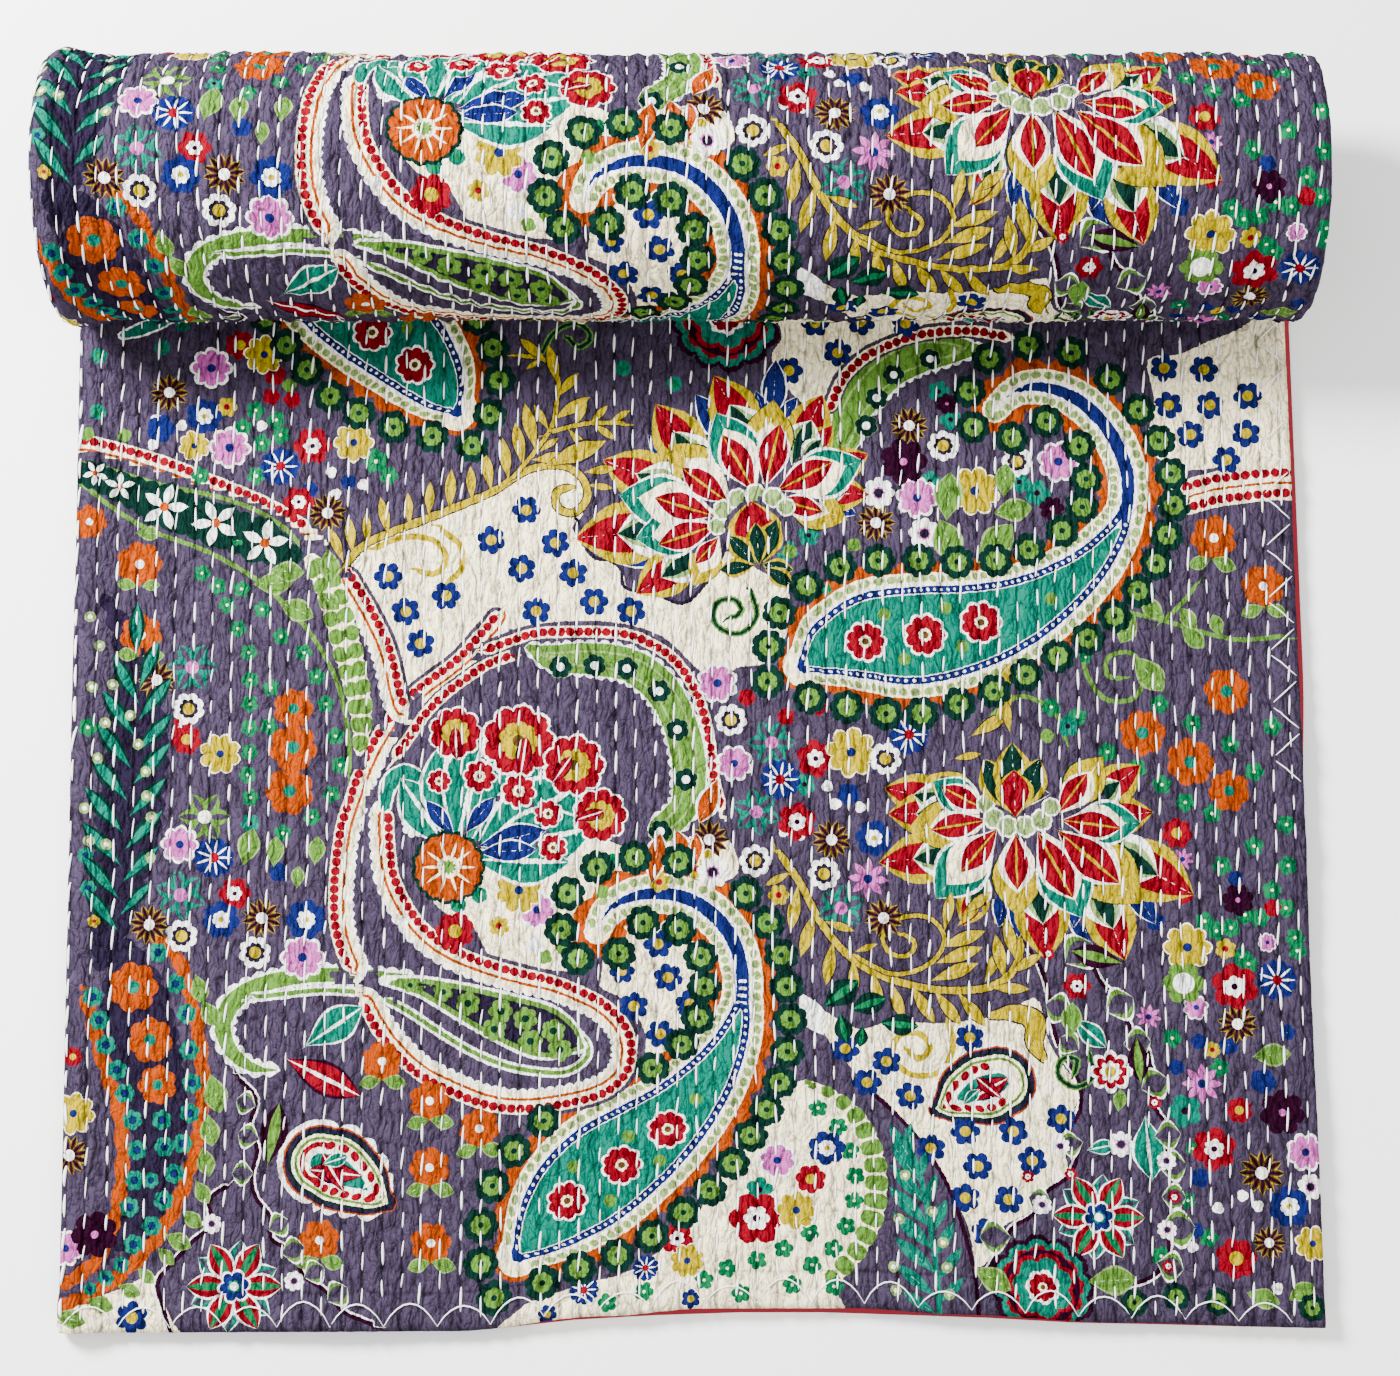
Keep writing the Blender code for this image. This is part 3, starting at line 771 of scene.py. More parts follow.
# The paisleys' outlines, the ropes of red dots, the leafy bands and the thin lines. A third number is the
# half-width there, and a last pair is where the row's dots stop.
BANDS = (
    (PAISLEY,
     "27.9,4.2,0.02 28.7,5,0.95 29.7,6,1.75 31.2,7.4,2.4 33.2,9,2.6 35.6,10.7,2.3"
     " 37.6,12.4,1.75 39.3,14.4,1.2 40.5,16.4,0.7 41.2,18.2,0.3 41.5,19.8,-0.05"
     " 41.5,21.5,-0.06 41,23.4,-0.04 39.8,25,-0.04 38.2,26,-0.06 36.3,26.3,-0.1 34.6,26,-0.2"
     " 33.3,25.2,-0.35 32.7,24,-0.5", (41.5, 21)),
    (PAISLEY,
     "45.6,40.4,0.02 46.5,41,0.95 47.6,41.6,1.6 49.8,42.2,2.35 52.8,42.3,2.6 56,42.8,2.25"
     " 58.8,43.7,1.75 61.2,45,1.25 63.4,46.7,0.75 65,48.6,0.3 65.8,50.2,-0.05 66,52,-0.06"
     " 65.7,53.6,-0.04 64.9,55.3,-0.04 63.6,56.8,-0.05 62,57.8,-0.1 60.2,58.1,-0.2"
     " 58.8,57.6,-0.4 57.8,56.6,-0.5", (65.7, 49.6)),
    (PAISLEY,
     "24,56.6,0.02 23.3,57.6,1 22.3,59,1.75 20.8,60.7,2.3 18.6,62.6,2.6 16,64.6,2.4 13.5,67,1.8 12,70,1.0"),
    (HOOK,
     "13.2,15.6,0.1 11.6,15.8,0.3 10.4,16.8,0.42 9.9,18.3,0.5 10.6,19.8,0.55 12.4,20.8,0.5 15,21.3,0.45"
     " 18,21.3,0.4 21,21.1,0.3"),
    (DOUBLE_LINE,
     "12,20 16,20.4 19,20.1 21,19.2 23,17.9 25,16.7 27,15.8 29,15.3 30.8,15.2 32,16 32,17 30.8,18.3"),
    (SPRIG_LEAF,
     "19.6,21,0.1 22,20.6,0.5 24.5,19.7,1.0 27,18.7,1.4 29.3,17.8,1.6 30.8,17.2,1.1 31.6,16.8,0.3"),
    (ROPE,
     "26.5,43.5 25.5,42.3 24,40.7 22,39.2 20.5,37.8 19.3,36.2 18.3,34.2 17.6,32.3 17,30.3 16.7,28 16.6,26"
     " 16.7,24.3 17.1,22.8 17.5,21.9"),
    (DOT_ROW, "20.4,34.9 21.2,36 22,37.2 23.2,38.5 24.5,39.5 26,40.5 27.7,41.1"),
    (ROPE,
     "18.5,19.5 19.3,18 20.5,16.5 22,15.2 24,14.2 26,13.4 28,13.05 30,13.1 32.3,13.5 33.8,14.3 34.6,15.5"
     " 34.7,17 34.2,18.3 33,19.5 31.5,20.3 30,20.9 28,21.4 26,22 24,22.8 22.5,23.8 21.3,25.2 20.3,27.2"
     " 20,29 19.9,31"),
    (ROPE, "20.8,37.9 20.5,38.9 20.2,40.3 19.8,41.7 19.2,43 18.4,44.5 17.5,46"),
    (DOT_ROW,
     "40.3,31.7 39.9,33.5 39.7,35.5 39.3,37.5 38.6,39.3 37.5,40.8 36.2,41.7 34.8,42.3 33,42.5 31,42.5"
     " 29,42.4 27.3,41.9 26,41.4"),
    (LEAF_BAND,
     "28.4,41.6,0.1 30,40.9,0.75 32.5,40.8,0.95 34.8,40.4,1.0 36.6,39.1,1.05 37.7,37.2,1.0 38.3,35,1.0"
     " 38.4,33,0.95 38,31.5,0.8 36.7,30.2,0.8"),
    (ROPE, "14.6,49.2 12.5,50.5 10,51.6 6,53.2 3.5,54 1.2,54.5 -1,54.9"),
    (LEAF_BAND,
     "48.3,54.7,0.9 48.9,56.6,1.1 49.9,58,1.2 51.2,59.3,1.2 53,60.2,1.2 55,60.5,0.9 56.8,60.5,0.3"),
    (DOT_ROW, "58.6,61.3 56.5,61.7 54,61.6 51.7,61 49.7,60 48.3,58.6 47.5,56.8"),
    (DOUBLE_ROPE, "69.6,51 72,51.6 75,51.9 77.5,51.9"),
    (GREEN_LINE, "-0.5,53.4 3,52.6 6,51.7 9,51.1 11.5,50.2 13.6,48.8 15,46.9"),
    (GREEN_LINE,
     "0.5,52 2.5,50.4 5,48.9 8,47.8 10,46.8 12,45.5 14,43.6 15.6,41.5 16.8,39 17.4,36 17.5,33.8"),
    (LEAFY, "15,47,0.5 16,45.6,0.8 16.7,43.6,0.85 17.3,41.4,0.85 17.9,39,0.75 18.2,37,0.6 18.1,35,0.3"),
    # Along the left fold: partly printed ground, partly painted shade of the fold.
    (DUSK_GROUND_AND_FOLD_SHADE,
     "3.9,23,0.9 4.4,20.5,2 5,17.5,2.3 5.8,14.5,2.1 6.1,11.5,1.7 5.7,8.5,1.6 4.3,5.4,1.4 2.4,3.4,1.1"
     " 0.4,2.3,1"),
    (ORANGE_BAND,
     "5.6,23.7 7,22.4 7.8,20.4 8.4,18 8.7,15.5 8.7,13.5 8.5,11.5 8,9.5 7.2,7.5 6.4,6 5.2,4.6 3.8,3.3"
     " 2.3,2.3 -0.5,1.3"),
    (ORANGE_BAND, "-0.5,2.6 1.6,3.4 3,5 3.6,7 3.9,9 3.95,11 3.6,13.5 2.9,15.5 2.3,17.5 1.7,19.8"),
    # Along the left fold: partly printed ground, partly painted shade of the fold.
    (DUSK_GROUND_AND_FOLD_SHADE, "2,45,0.3 4,41,1.2 4.4,36,1.9 4,31,2.1 3.2,26,1.6 2.4,22,0.6"),
    (STEM, "53.1,-1 53,2 52.7,5 52.2,8 51.4,10.6"),
    (BOTTLE_PATCH, "0,52.7,0.7 3,51.7,1.0 6,50.4,1.35 9,49.3,1.4 12,48.2,1.35 13.8,47.3,0.7"),
    (MAROON_LINE, "49.2,13.7 51,12 52.6,10 53.9,7.5 54.8,4.5 55.3,2 55.5,-1"),
    (LEAFY, "45,14.4,0.1 47,13.4,0.3 48.6,11.6,0.5 49.4,9,0.6 49.3,6,0.6 48.3,3.6,0.5 46.8,1.9,0.5"),
    (GARLAND,
     "55.9,2.4 56.8,4 57.6,5.4 58.9,6.3 59.7,7.7 61,8.7 61.6,10 61.2,11.5 61.9,13 61.8,14.8 60.9,16.4"
     " 60.4,18 60.2,20 59.6,22 58.3,23.8"),
    (GARLAND,
     "61.2,23.4 62.6,22.3 63.4,20.8 64.6,19.6 65.1,17.9 66,16.8 66.3,15 66.3,13.3 67.1,11.8 67.1,9.8"
     " 67.4,8 67,6 66.9,4.2 66,2.8 64.4,2.2"),
    (GARLAND,
     "11,15 12,13.8 11.6,12.2 12.1,10.8 11.8,9.4 12,8 12.9,6.8 13,5.5 14.3,4.7 14.9,3.4 16.3,2.4 17.4,1.2"
     " 19,0.5"),
    (GARLAND, "7.2,-0.5 6.6,1.4 6.2,3 7.2,4.2 8.3,5.4 9.4,6.4 9.2,7.8 10.2,8.6"),
    (YELLOW_LINE,
     "17.2,46.8 18.3,48 20,48.8 22,49.6 24.5,50.6 26.5,51.5 28,52.5 29.5,53 31,52.9 32,52.1 32.2,50.9"
     " 31.3,50 30.3,50.4 30.3,51.4 31,51.6"),
    (YELLOW_THIN, "27.5,52.2 29,54 30,55.5 30.3,57 30.4,58.6 29.6,59.8 28,60.1"),
    (YELLOW_THIN, "30,55.2 32,55.7 34.4,55.8"),
    (OLIVE_LINE, "29.4,60.3 30.2,61.6 31.6,62.2 32.5,61.3 31.7,60.6 31.1,61.2"),
    (PALE_LINE, "19,47.8 20.8,48.5 22.6,48.3 23.4,47.2 22.8,46.2 21.8,46.3"),
    (PALE_LINE, "23.2,48.9 24.3,47.9 24.3,46.4 23.4,45.6"),
    (YELLOW_LINE,
     "44,28.6 45.2,26.8 46.2,24.8 47.5,23 49.2,21.6 51.5,20.7 54,20.3 56.5,20.5 58,21.5 58.5,23.2"
     " 57.6,24.2"),
    (YELLOW_THIN,
     "48.6,22.3 50.8,21.3 53,22 53.9,23.5 53,24.8 51.2,24.8 50.1,23.7 50.6,22.6 51.7,22.5 52.1,23.3"
     " 51.4,23.8"),
    (YELLOW_PATCH, "56.6,18.7,0.2 58,18.9,0.5 59.3,18.4,0.6 59.2,17,0.5 59.8,16,0.2"),
    (PALE_LINE,
     "54,18.3 54.3,16.7 53.4,15.1 51.7,14.9 50.6,16 51,17.4 52.3,17.5 52.9,16.6 52.1,15.9 51.6,16.4"),
    (GREEN_LINE, "65,43.9 68,43.2 72,42.1 75.3,42.2"),
    (GREEN_LINE, "62.8,42.3 63,40 64.2,38.3 66,38.4 66.6,40 65.8,41.2 64.4,40.9 64.3,39.8 65.2,39.6"),
    (GREEN_LINE, "57,37.2 58.6,38.4 60,38.2 61.2,37.2 61.6,35.8"),
    (GREEN_LINE, "68,43.3 69,44.2 70,45.4"),
    (OLIVE_LINE, "42.4,44.9 42.7,43.5 41.6,42.4 40.2,42.9 40.1,44.2 41.2,44.6 41.8,43.8 41.1,43.4"),
    (OLIVE_LINE, "62.6,16.2 62.7,14.9 61.6,14.3 60.6,15 60.9,16.1 61.8,16 61.6,15.2"),
    (TEAL_BAND, "19.7,31.6,0.3 19.9,33,0.45 20.9,33.7,0.5 22,33,0.4 22.6,31.5,0.3 22.9,30.3,0.1"),
    (DUSK_LINE,
     "31.6,49.6 32,48.4 32.6,47.2 33.6,47 34.3,46.4 34.5,45.3 36.4,44.9 38.1,44.3 39.5,45.5 40.6,47.3"
     " 40.8,48"),
    (TEAL_BAND, "3,61.4,0.2 4.6,62,0.4 6.2,62.8,0.4 7.4,64,0.3"),
    (MANGO, "20,7.6,0.02 19.3,8,0.8 18.2,8.8,1.5 16.9,9.6,1.9 15.9,10,1.7"),
    (MANGO, "53.2,12.7,0.02 53.9,13,0.8 54.9,13.6,1.5 56.1,14.1,1.9 57,14.5,1.7"),
)

# The small flowers strewn over both grounds, with their leaves. In this table and the next ones a place of
# two numbers is a flower of the row's radius, and a third number is its own. A place of four is a petal or
# leaf from its foot to its tip, or the row's share of the way.
FILLERS = (
    (SEA_FLOWER, 0.55, "8.2,46.2 9.2,45.4 10.7,45.2 9.8,44.2 12,43.9 10.5,42.7 13.2,42.2 11.2,41.2"),
    (SEA_FLOWER, 0.55, "14.6,41.2 11.3,39.5 15.4,39.7 11.3,38 16,38 11.3,36.5 16.6,36 11.3,35"),
    (SEA_FLOWER, 0.55, "16.9,34.2 11.2,33.6 11.4,32.2 16.4,32.4 13.4,30 15.2,31 12.6,39 12.5,36.6"),
    (SEA_FLOWER, 0.6, "67.5,38 69.5,36.8 71.8,35.5 66,34 67.5,33 68.9,31.9 70.5,31.2 73.2,33.8 64.2,35"),
    (SEA_FLOWER, 0.6, "70.5,24 72.3,25 74,26.5 71,28 73,29.2 75,30.5 72,22.4 75.4,22.8 75,28 74.4,36.6"),
    (SEA_FLOWER, 0.6, "40.4,2.4 42.2,2.9 43.8,3.6 45.4,4.6 39,1.7 45.5,2.6 44.3,1.4 35.4,1.3 33.2,0.8"),
    (SEA_FLOWER, 0.6,
     "46.8,3.6 47.6,5 48.1,6.6 48.2,8.2 47.9,9.8 47.2,11.4 46,12.6 33.5,28.2 41.2,0.9 46.8,1.3"),
    (SEA_FLOWER, 0.6,
     "11.4,56.6 12.7,56 11.8,54.5 13,55 10.6,55.5 11.5,52.4 19,53.3,0.8 19.8,52.4 8,52.4 69.4,5.2"),
    (SEA_FLOWER, 0.6,
     "69.8,24.6 71.4,24.2 73.2,24.8 74.8,25.4 72.4,22 75.3,23.6 68.2,26.6 67.6,17.4 70.4,15.6"
     " 68.6,10.6,0.45"),
    (SEA_FLOWER, 0.6,
     "66.5,4 68.2,7.4,0.5 63,40.9,0.4 60.8,37.8 62.4,37.2 47,45.2,0.4 10.4,48.3,0.4 1.4,36.5"),
    (TEAL_RING, 1.5, "7.7,40.3,1.6 7.2,26.2,1.6 47.6,25.4 43.5,35.6 42.5,31.3"),
    (LEAF_RING, 1.6, "8.6,31"),
    (TEAL_FLOWER, 0.85, "60.3,51.3 68.2,12.9,1.05 42.4,7.3 11.4,30.6,0.6"),
    (TEAL_FLOWER, 0.7, "54.3,57.8 55,56 53.6,52 45.5,33 46,48.6 44.6,47.6 61.8,36.6 59.2,52"),
    (DOT, 0.5, "34.5,59.3 37.7,58.3 30.4,62.8 25.5,26.2 24.2,25.6 5.5,60.6 6.8,62.1 1.6,56.4 1.6,60"),
    (LEAF_DOT, 0.45, "13.5,58.2 33,26.4 30.6,23,0.5 44.8,47.6 1,55 3.2,55 29.5,22.4 60.5,36 48.8,48"),
    (WHITE_DOT, 0.36,
     "11.8,55.6 16.2,52.6 18.2,51.8 5,54.4 16.5,51.2 70,7 71.5,7.8 72.4,7.2 46.9,32.9 47.4,31.8"),
    (WHITE_DOT, 0.36,
     "48.9,31.6 5.2,56 6.8,55.6 44.2,30.1 45.2,29.9 28.8,23.2,0.6 68.4,4.6 73.4,2.3 20.8,24.6"),
    (ROYAL_DOT, 0.5,
     "5.5,55.4,0.9 17.3,52 14.9,51.5 48.2,32.4,0.7 13.2,27.6,0.6 52.6,33.4 69.2,17.2 73,14.8,0.8"
     " 71,17,0.6 69,8.8,0.6 67.8,15.6,0.5 74.6,17.8,0.5 68.6,5.6,0.5 66.8,24.6,0.6 71.8,27.2,0.5"),
    (RED_DOT, 0.55,
     "12.4,57.5 13.7,57.3 12.6,58.9,0.7 68.6,26.2 74,25.4 42,38.4 44.4,37.2 46.4,37.8 24.3,24.6"),
    (PINK_FLOWER, 1.35, "8.6,59.3 9.8,54.2 52.8,51 61.7,53.3 41.2,34.3,1.15 40.2,39.3,1.3"),
    (PINK_FLOWER, 1.2,
     "14.7,22.4,1.4 7.1,29.3 29,25.3 43.5,9.2 0.7,5,1.1 75.4,10.5 69.1,19.3,0.8 73.6,23.3,0.6"),
    (PINK_STAR, 1.25, "69.3,14.6 49.3,27.2 66.2,18.7,0.8 68.6,28.4,0.7"),
    (STARBURST, 1.25, "6,57.7 16,50 52.4,55.6 50.2,49.4 12.2,24.8 5.3,24.4 5.5,39.5 47.1,29.6"),
    (STARBURST, 1.25, "39.6,29.6 50.2,24.8 71.6,18.3 72.7,9.2,1.4 0.8,10.5"),
    (STARBURST, 1.05, "73,5"),
    (BLUE_STAR, 1.25, "13,53 9.2,28.5 44,33.3 52,36.1 74.1,21 35.5,2.7,0.8 31.8,1.6,0.9"),
    (WHITE_RAYS, 1.1, "13,53 9.2,28.5 44,33.3 52,36.1 74.1,21 35.5,2.7,0.7 31.8,1.6,0.8"),
    (RED_WHITE, 1.2, "15,54.3 46.2,34.6 45,30.7 10.5,26.3,1 71.5,20.6,1.45 69.9,10.6,1.35 42.2,5.5,1.7"),
    (RED_WHITE, 1.0, "14.2,50.7 37.4,4.3 7.2,36.6,0.7"),
    (RED_YELLOW, 0.95, "10.4,60.8 68.3,30 71.5,13,0.8 45.5,8 71,4,1.25 0.9,16.4,0.6 7.4,35.8 24,24,1.2"),
    (YELLOW_FLOWER, 1.3, "17.6,54.5 11.9,60.2 48.4,35,1.6 56.4,51.4,1.6 9.5,34.9 27.9,26.5,1.5 7.6,54.3,1"),
    (YELLOW_FLOWER, 1.3, "68.7,23,1.5 44.6,6 1,13 75.6,5,1.1 38,2.9,1.1 39.2,28.1,1"),
    (YELLOW_SMALL, 0.65, "9.6,56.8 26.7,24.3 71,22.9 43.8,26.2 70,16.7,0.5 36.5,27 38.8,27.8 2,24.6,0.4"),
    (WHITE_RING, 1.0, "54.5,54.3 59.1,53.3 41,37 50.5,34.6 7.5,37.7 7.3,23.7 11.8,22.7"),
    (WHITE_RING, 1.0, "42.4,28.3 46.6,27.5"),
    (PALE_RING, 1.0, "50.4,51.3 53.2,48.7 39.8,27.6 21.5,30.5,0.8 75.6,8.4,0.8"),
    (LEAF_WHITE, 1.3, "68.4,20.8"),
    (BLUE_WHITE, 1.15, "8.2,56.2 9.7,24.7 14.9,24.7,1.25 49.7,29.7 46.5,10 74.3,7.2,1.25"),
    (MAROON_FLOWER, 1.4, "52,53.3,1.5 74.1,12.9 2.4,5.8 71.9,25.9,1.0 61.2,50.3,0.8 54.8,57,0.7"),
    (ORANGE_FLOWER, 1.35, "4.3,46.8,1.45 4.5,42.3 71.2,48.4,1.45 74.2,45.4 19.6,16.1,1.25 1.2,49.4,1.1"),
    (ORANGE_FLOWER, 1.25, "22.5,13.7 25.5,12 22.5,9.7 15.9,5.4 22.6,5.2"),
    (ORANGE_TEAL, 1.5,
     "14,37.7,1.25 14,35.3 13.8,32.6 71.7,38.8,1.45 66.4,36.2,1.45 69.3,34.4 71.6,32.6,1.3"),
    (ORANGE_TEAL, 1.5, "4.4,20.6,1.55 5.5,17.4,1.4 6,14.7,1.2"),
    (TEAL_NAVY, 0.62,
     "5.9,22.7 7,20.8 7.7,19 7.9,16.8 8.1,14.8 8,13 7.6,11.2 7.1,9.4 6.5,7.8 5.8,6.3 4.7,5.2 4,4,0.5"
     " 3.1,3.2,0.5 2.2,2.6,0.4 2,20 2.4,18.6 2.8,17.1 3.5,15.6 4,14.2 4.5,12.6 4.8,10.8 4.7,9 4.4,7.4"
     " 6.3,12.6 6.5,11 5.7,9,0.5 1.4,28.6,0.5 1.6,26.6,0.5"),
    (DAISY_BACK, 1.7, "5.8,50.4 9,49.4 12.1,48.1 1.5,52.5,0.95 3,51.7,1.1"),
    (DAISY, 1.5, "5.8,50.4 9,49.4 12.1,48.1 1.5,52.5,0.8 3,51.7,0.95"),
    (BLUE, 0.92,
     "19.8,46 20.9,43.8 21.8,41.8 23.4,44.8 26.2,48.3 28.1,46.5 28.4,50.2 30.2,48.1 31.3,46.2 32.6,44.4"
     " 34.9,43.8 29,43.8 46.6,62.2 49.5,62.3 48,60.3 44.9,59.1 52.3,62.2 68.5,59.3 71,59.2 68.7,56.9"
     " 71.3,56.9 73.7,57.5 70,55 73.5,55.1 72.2,53.4 47.7,16.5 50.2,15.7 49,14.3 51.6,13.5 52.8,10.2"
     " 55.6,9.1 58.9,9.6 60.7,12.3 54.9,11.3 57.8,11.4 54.8,7.1 57.4,7.1 56,5 55.3,17.3 36.4,23.2 37,21.1"
     " 34.9,19.3 36.5,17.5 38.3,19.4 4.7,0.9,1 34.2,21.5,0.8 29.6,0.4,0.6 38.2,0.6,0.6"),
    (GREEN_LEAF, 1.0,
     "71,47.1,69.6,46.6 71,47.1,72.6,46.5 74.2,44.1,72.8,43.6 74.2,44.1,75.6,43.6 19.6,15,18.2,14.7"
     " 19.6,15,21.1,14.7 22.5,12.6,21.1,12.2 22.5,12.6,24,12.3 25.5,10.9,24.1,10.5 25.5,10.9,27,10.5"
     " 22.5,8.6,21.1,8.2 22.5,8.6,24,8.2 15.9,4.3,14.5,3.9 15.9,4.3,17.4,3.9 22.6,4.1,21.2,3.7"
     " 22.6,4.1,24.1,3.7 4.2,45.4,2.9,45.6 4.4,45.4,5.6,45.5 4.4,41,3,41.2 4.6,41,6,41 4,48.8,5.6,48.7"
     " 11.4,45.5,13.9,45.6 11,28,11.6,30.3 12.9,27.9,13,29.8 15.4,28,15.6,29.8 14.3,26.6,14.4,28"
     " 68,43.2,66.6,44.6 70,42.6,69,44 71.5,42.2,71,43.6 69,42.9,70.4,41.5 66.2,43.6,65.2,41.8"
     " 66,41,67.8,38.8 72.4,16.3,74.8,16.5 55.2,46.5,54.2,49.6 56.5,46.8,58.7,49.3 57.5,50,60,50.4"
     " 54.6,49.5,54.9,52.6 58.2,51,58.4,53.2 13,44.4,15.2,43.4 16,47.8,16.3,45.6 15.4,45,16.8,43.9"
     " 12.4,46.4,14.6,46.2 71.5,2,73.5,1.4 74,1.6,75.6,2.6 9.2,15.4,9.8,13 9,13,9.4,11 8.8,11,9.2,9.2"
     " 8.4,9,9.2,7.6 7.6,7.2,8.8,6.2 6.6,5.8,8.2,5 6.2,5,7.2,4 5,3.8,6,2.9 3.8,2.8,5.2,2.2 2,2,3.6,1.4"
     " 0.2,1.2,2,0.6 8.6,19.8,9.6,18.2 8.2,21.4,8.7,19.6"),
    (CHAIN, 0.85, "67.3,1.6 69.8,1.4 75.4,1.2 64.8,1.2"),
)

# The two open flowers, each ring of petals over the one before.
LOTUSES = (
    (BLUE_PETAL, 1.0,
     "43.8,55.6,44.1,59.8 42,53.6,39,57.6 39.5,51.4,36,55 38.6,48.4,33.8,46.9 39.6,47.4,38.7,45.2"
     " 46.6,51,49,49.9 43.6,55.6,42.8,57.8 44,55.6,45.4,57.4"),
    (NOTCHED, 1.0,
     "43,53.6,40.2,58.8 39.8,52,36.5,57 45,53,47,57.6 45.6,53.2,47.6,55.6 39,51,33.2,53.4"
     " 38.8,49.2,31.4,48.4"),
    (NOTCHED, 1.0, "39.6,47.8,35.2,44.9 45.6,51.4,49.8,51.2 46,52.2,49.8,53.8"),
    (GOLD_CREAM, 1.0, "43.2,51.8,43.9,57.2 41.2,50.9,37.3,54.4 40.4,48.6,38.8,45.4 44,51.2,48.4,49.6"),
    (RIM_CREAM, 1.0, "42.8,51.4,40.3,56.4 40.2,50.1,34.2,51.2 44.2,51.5,49.4,53.4 40.4,49.2,35.2,48.4"),
    (RED_PETAL, 1.0,
     "42.7,51.3,40.7,55 43.3,51.6,44.3,55.7 44,51.4,47.6,53.3 44,50.9,46.9,50.1 41.1,50.6,38.1,52.9"
     " 40.2,49.8,36.4,51 40.3,49.3,36.6,48 40.4,48.5,38.9,46.8"),
    (HUB, 1.0, "40.3,49.2,0.6 40.7,50.2,0.7 41.6,50.9,0.7 42.7,51.2,0.7 43.8,51,0.7 44.6,50.4,0.6"),
    (SLATE_DOT, 1.9, "42.6,48.9"),
    (BUD, 1.0, "42.9,46.6,42.4,50.8"),
    (DARK_GOLD, 1.0,
     "42.9,46.7,44,49.6 42.9,46.7,42.7,49.4 42.7,46.7,41,48.6 43,46.8,45,46.4 42.6,46.7,40.4,46.4"
     " 43.2,46.6,45,45.4"),
    (BLUE_PETAL, 1.0,
     "58,27.6,57.2,24.2 58.8,27.6,58.4,23.6 61.6,27,62.9,22.8 64.6,28.4,66.8,24.4 62,27,61.8,24.2"
     " 55.4,29.6,52.2,30.2"),
    (NOTCHED, 1.0,
     "55.8,28.8,50,28.2 59.6,28.4,60.1,22.2 63,27.6,64.9,22.2 63.2,29.6,69.2,26.2 56.6,27.6,55,24.3"),
    (NOTCHED, 1.0, "62.6,31.4,66.2,34.2 55.4,31.6,50.4,32.8 62.4,30.8,66.9,31.3 55.4,31.2,50.6,31.2"),
    (GOLD_CREAM, 1.0,
     "58.4,30.2,58.4,24.9 61.2,30.2,66,25.7 57,30.9,51.8,30.2 61.2,31.2,63.9,34.7 56.6,31.4,53.2,33.6"),
    (RIM_CREAM, 1.0, "57.2,30.2,53.4,26 60,30.2,62.4,24.8 61.4,30.7,66.1,30.6 56.8,31.2,53.4,33.2"),
    (RED_PETAL, 1.0,
     "57.3,30.3,55,27.6 58.4,30,58.4,26.5 59.7,30.1,61.8,26 60.9,30.2,64.7,26.9 61.2,30.8,64.9,30.3"
     " 61,31.2,62.9,33.7 56.7,30.8,53.2,30.2 56.6,31.4,53.9,32.9"),
    (HUB, 1.0, "56.6,31.8,0.6 57.1,30.9,0.7 57.9,30.4,0.7 59,30.4,0.7 60,30.8,0.7 60.6,31.6,0.6"),
    (SLATE_PETAL, 1.0, "56.4,32.6,60.6,32.4"),
    (DARK_GOLD, 1.0, "58.2,31.2,56.6,34.6 58.4,31.2,58.3,35.6 58.6,31.2,60,34.6"),
    (BUD, 1.0, "58.4,30.9,58.4,33.9"),
    (YELLOW_LEAF, 1.0,
     "54.7,34.6,56.4,34.9 55.8,36,58.2,37.4 57.2,36.6,58.4,38.6 57.6,38,58.3,40.6 58.2,36.2,57.9,38.4"),
)

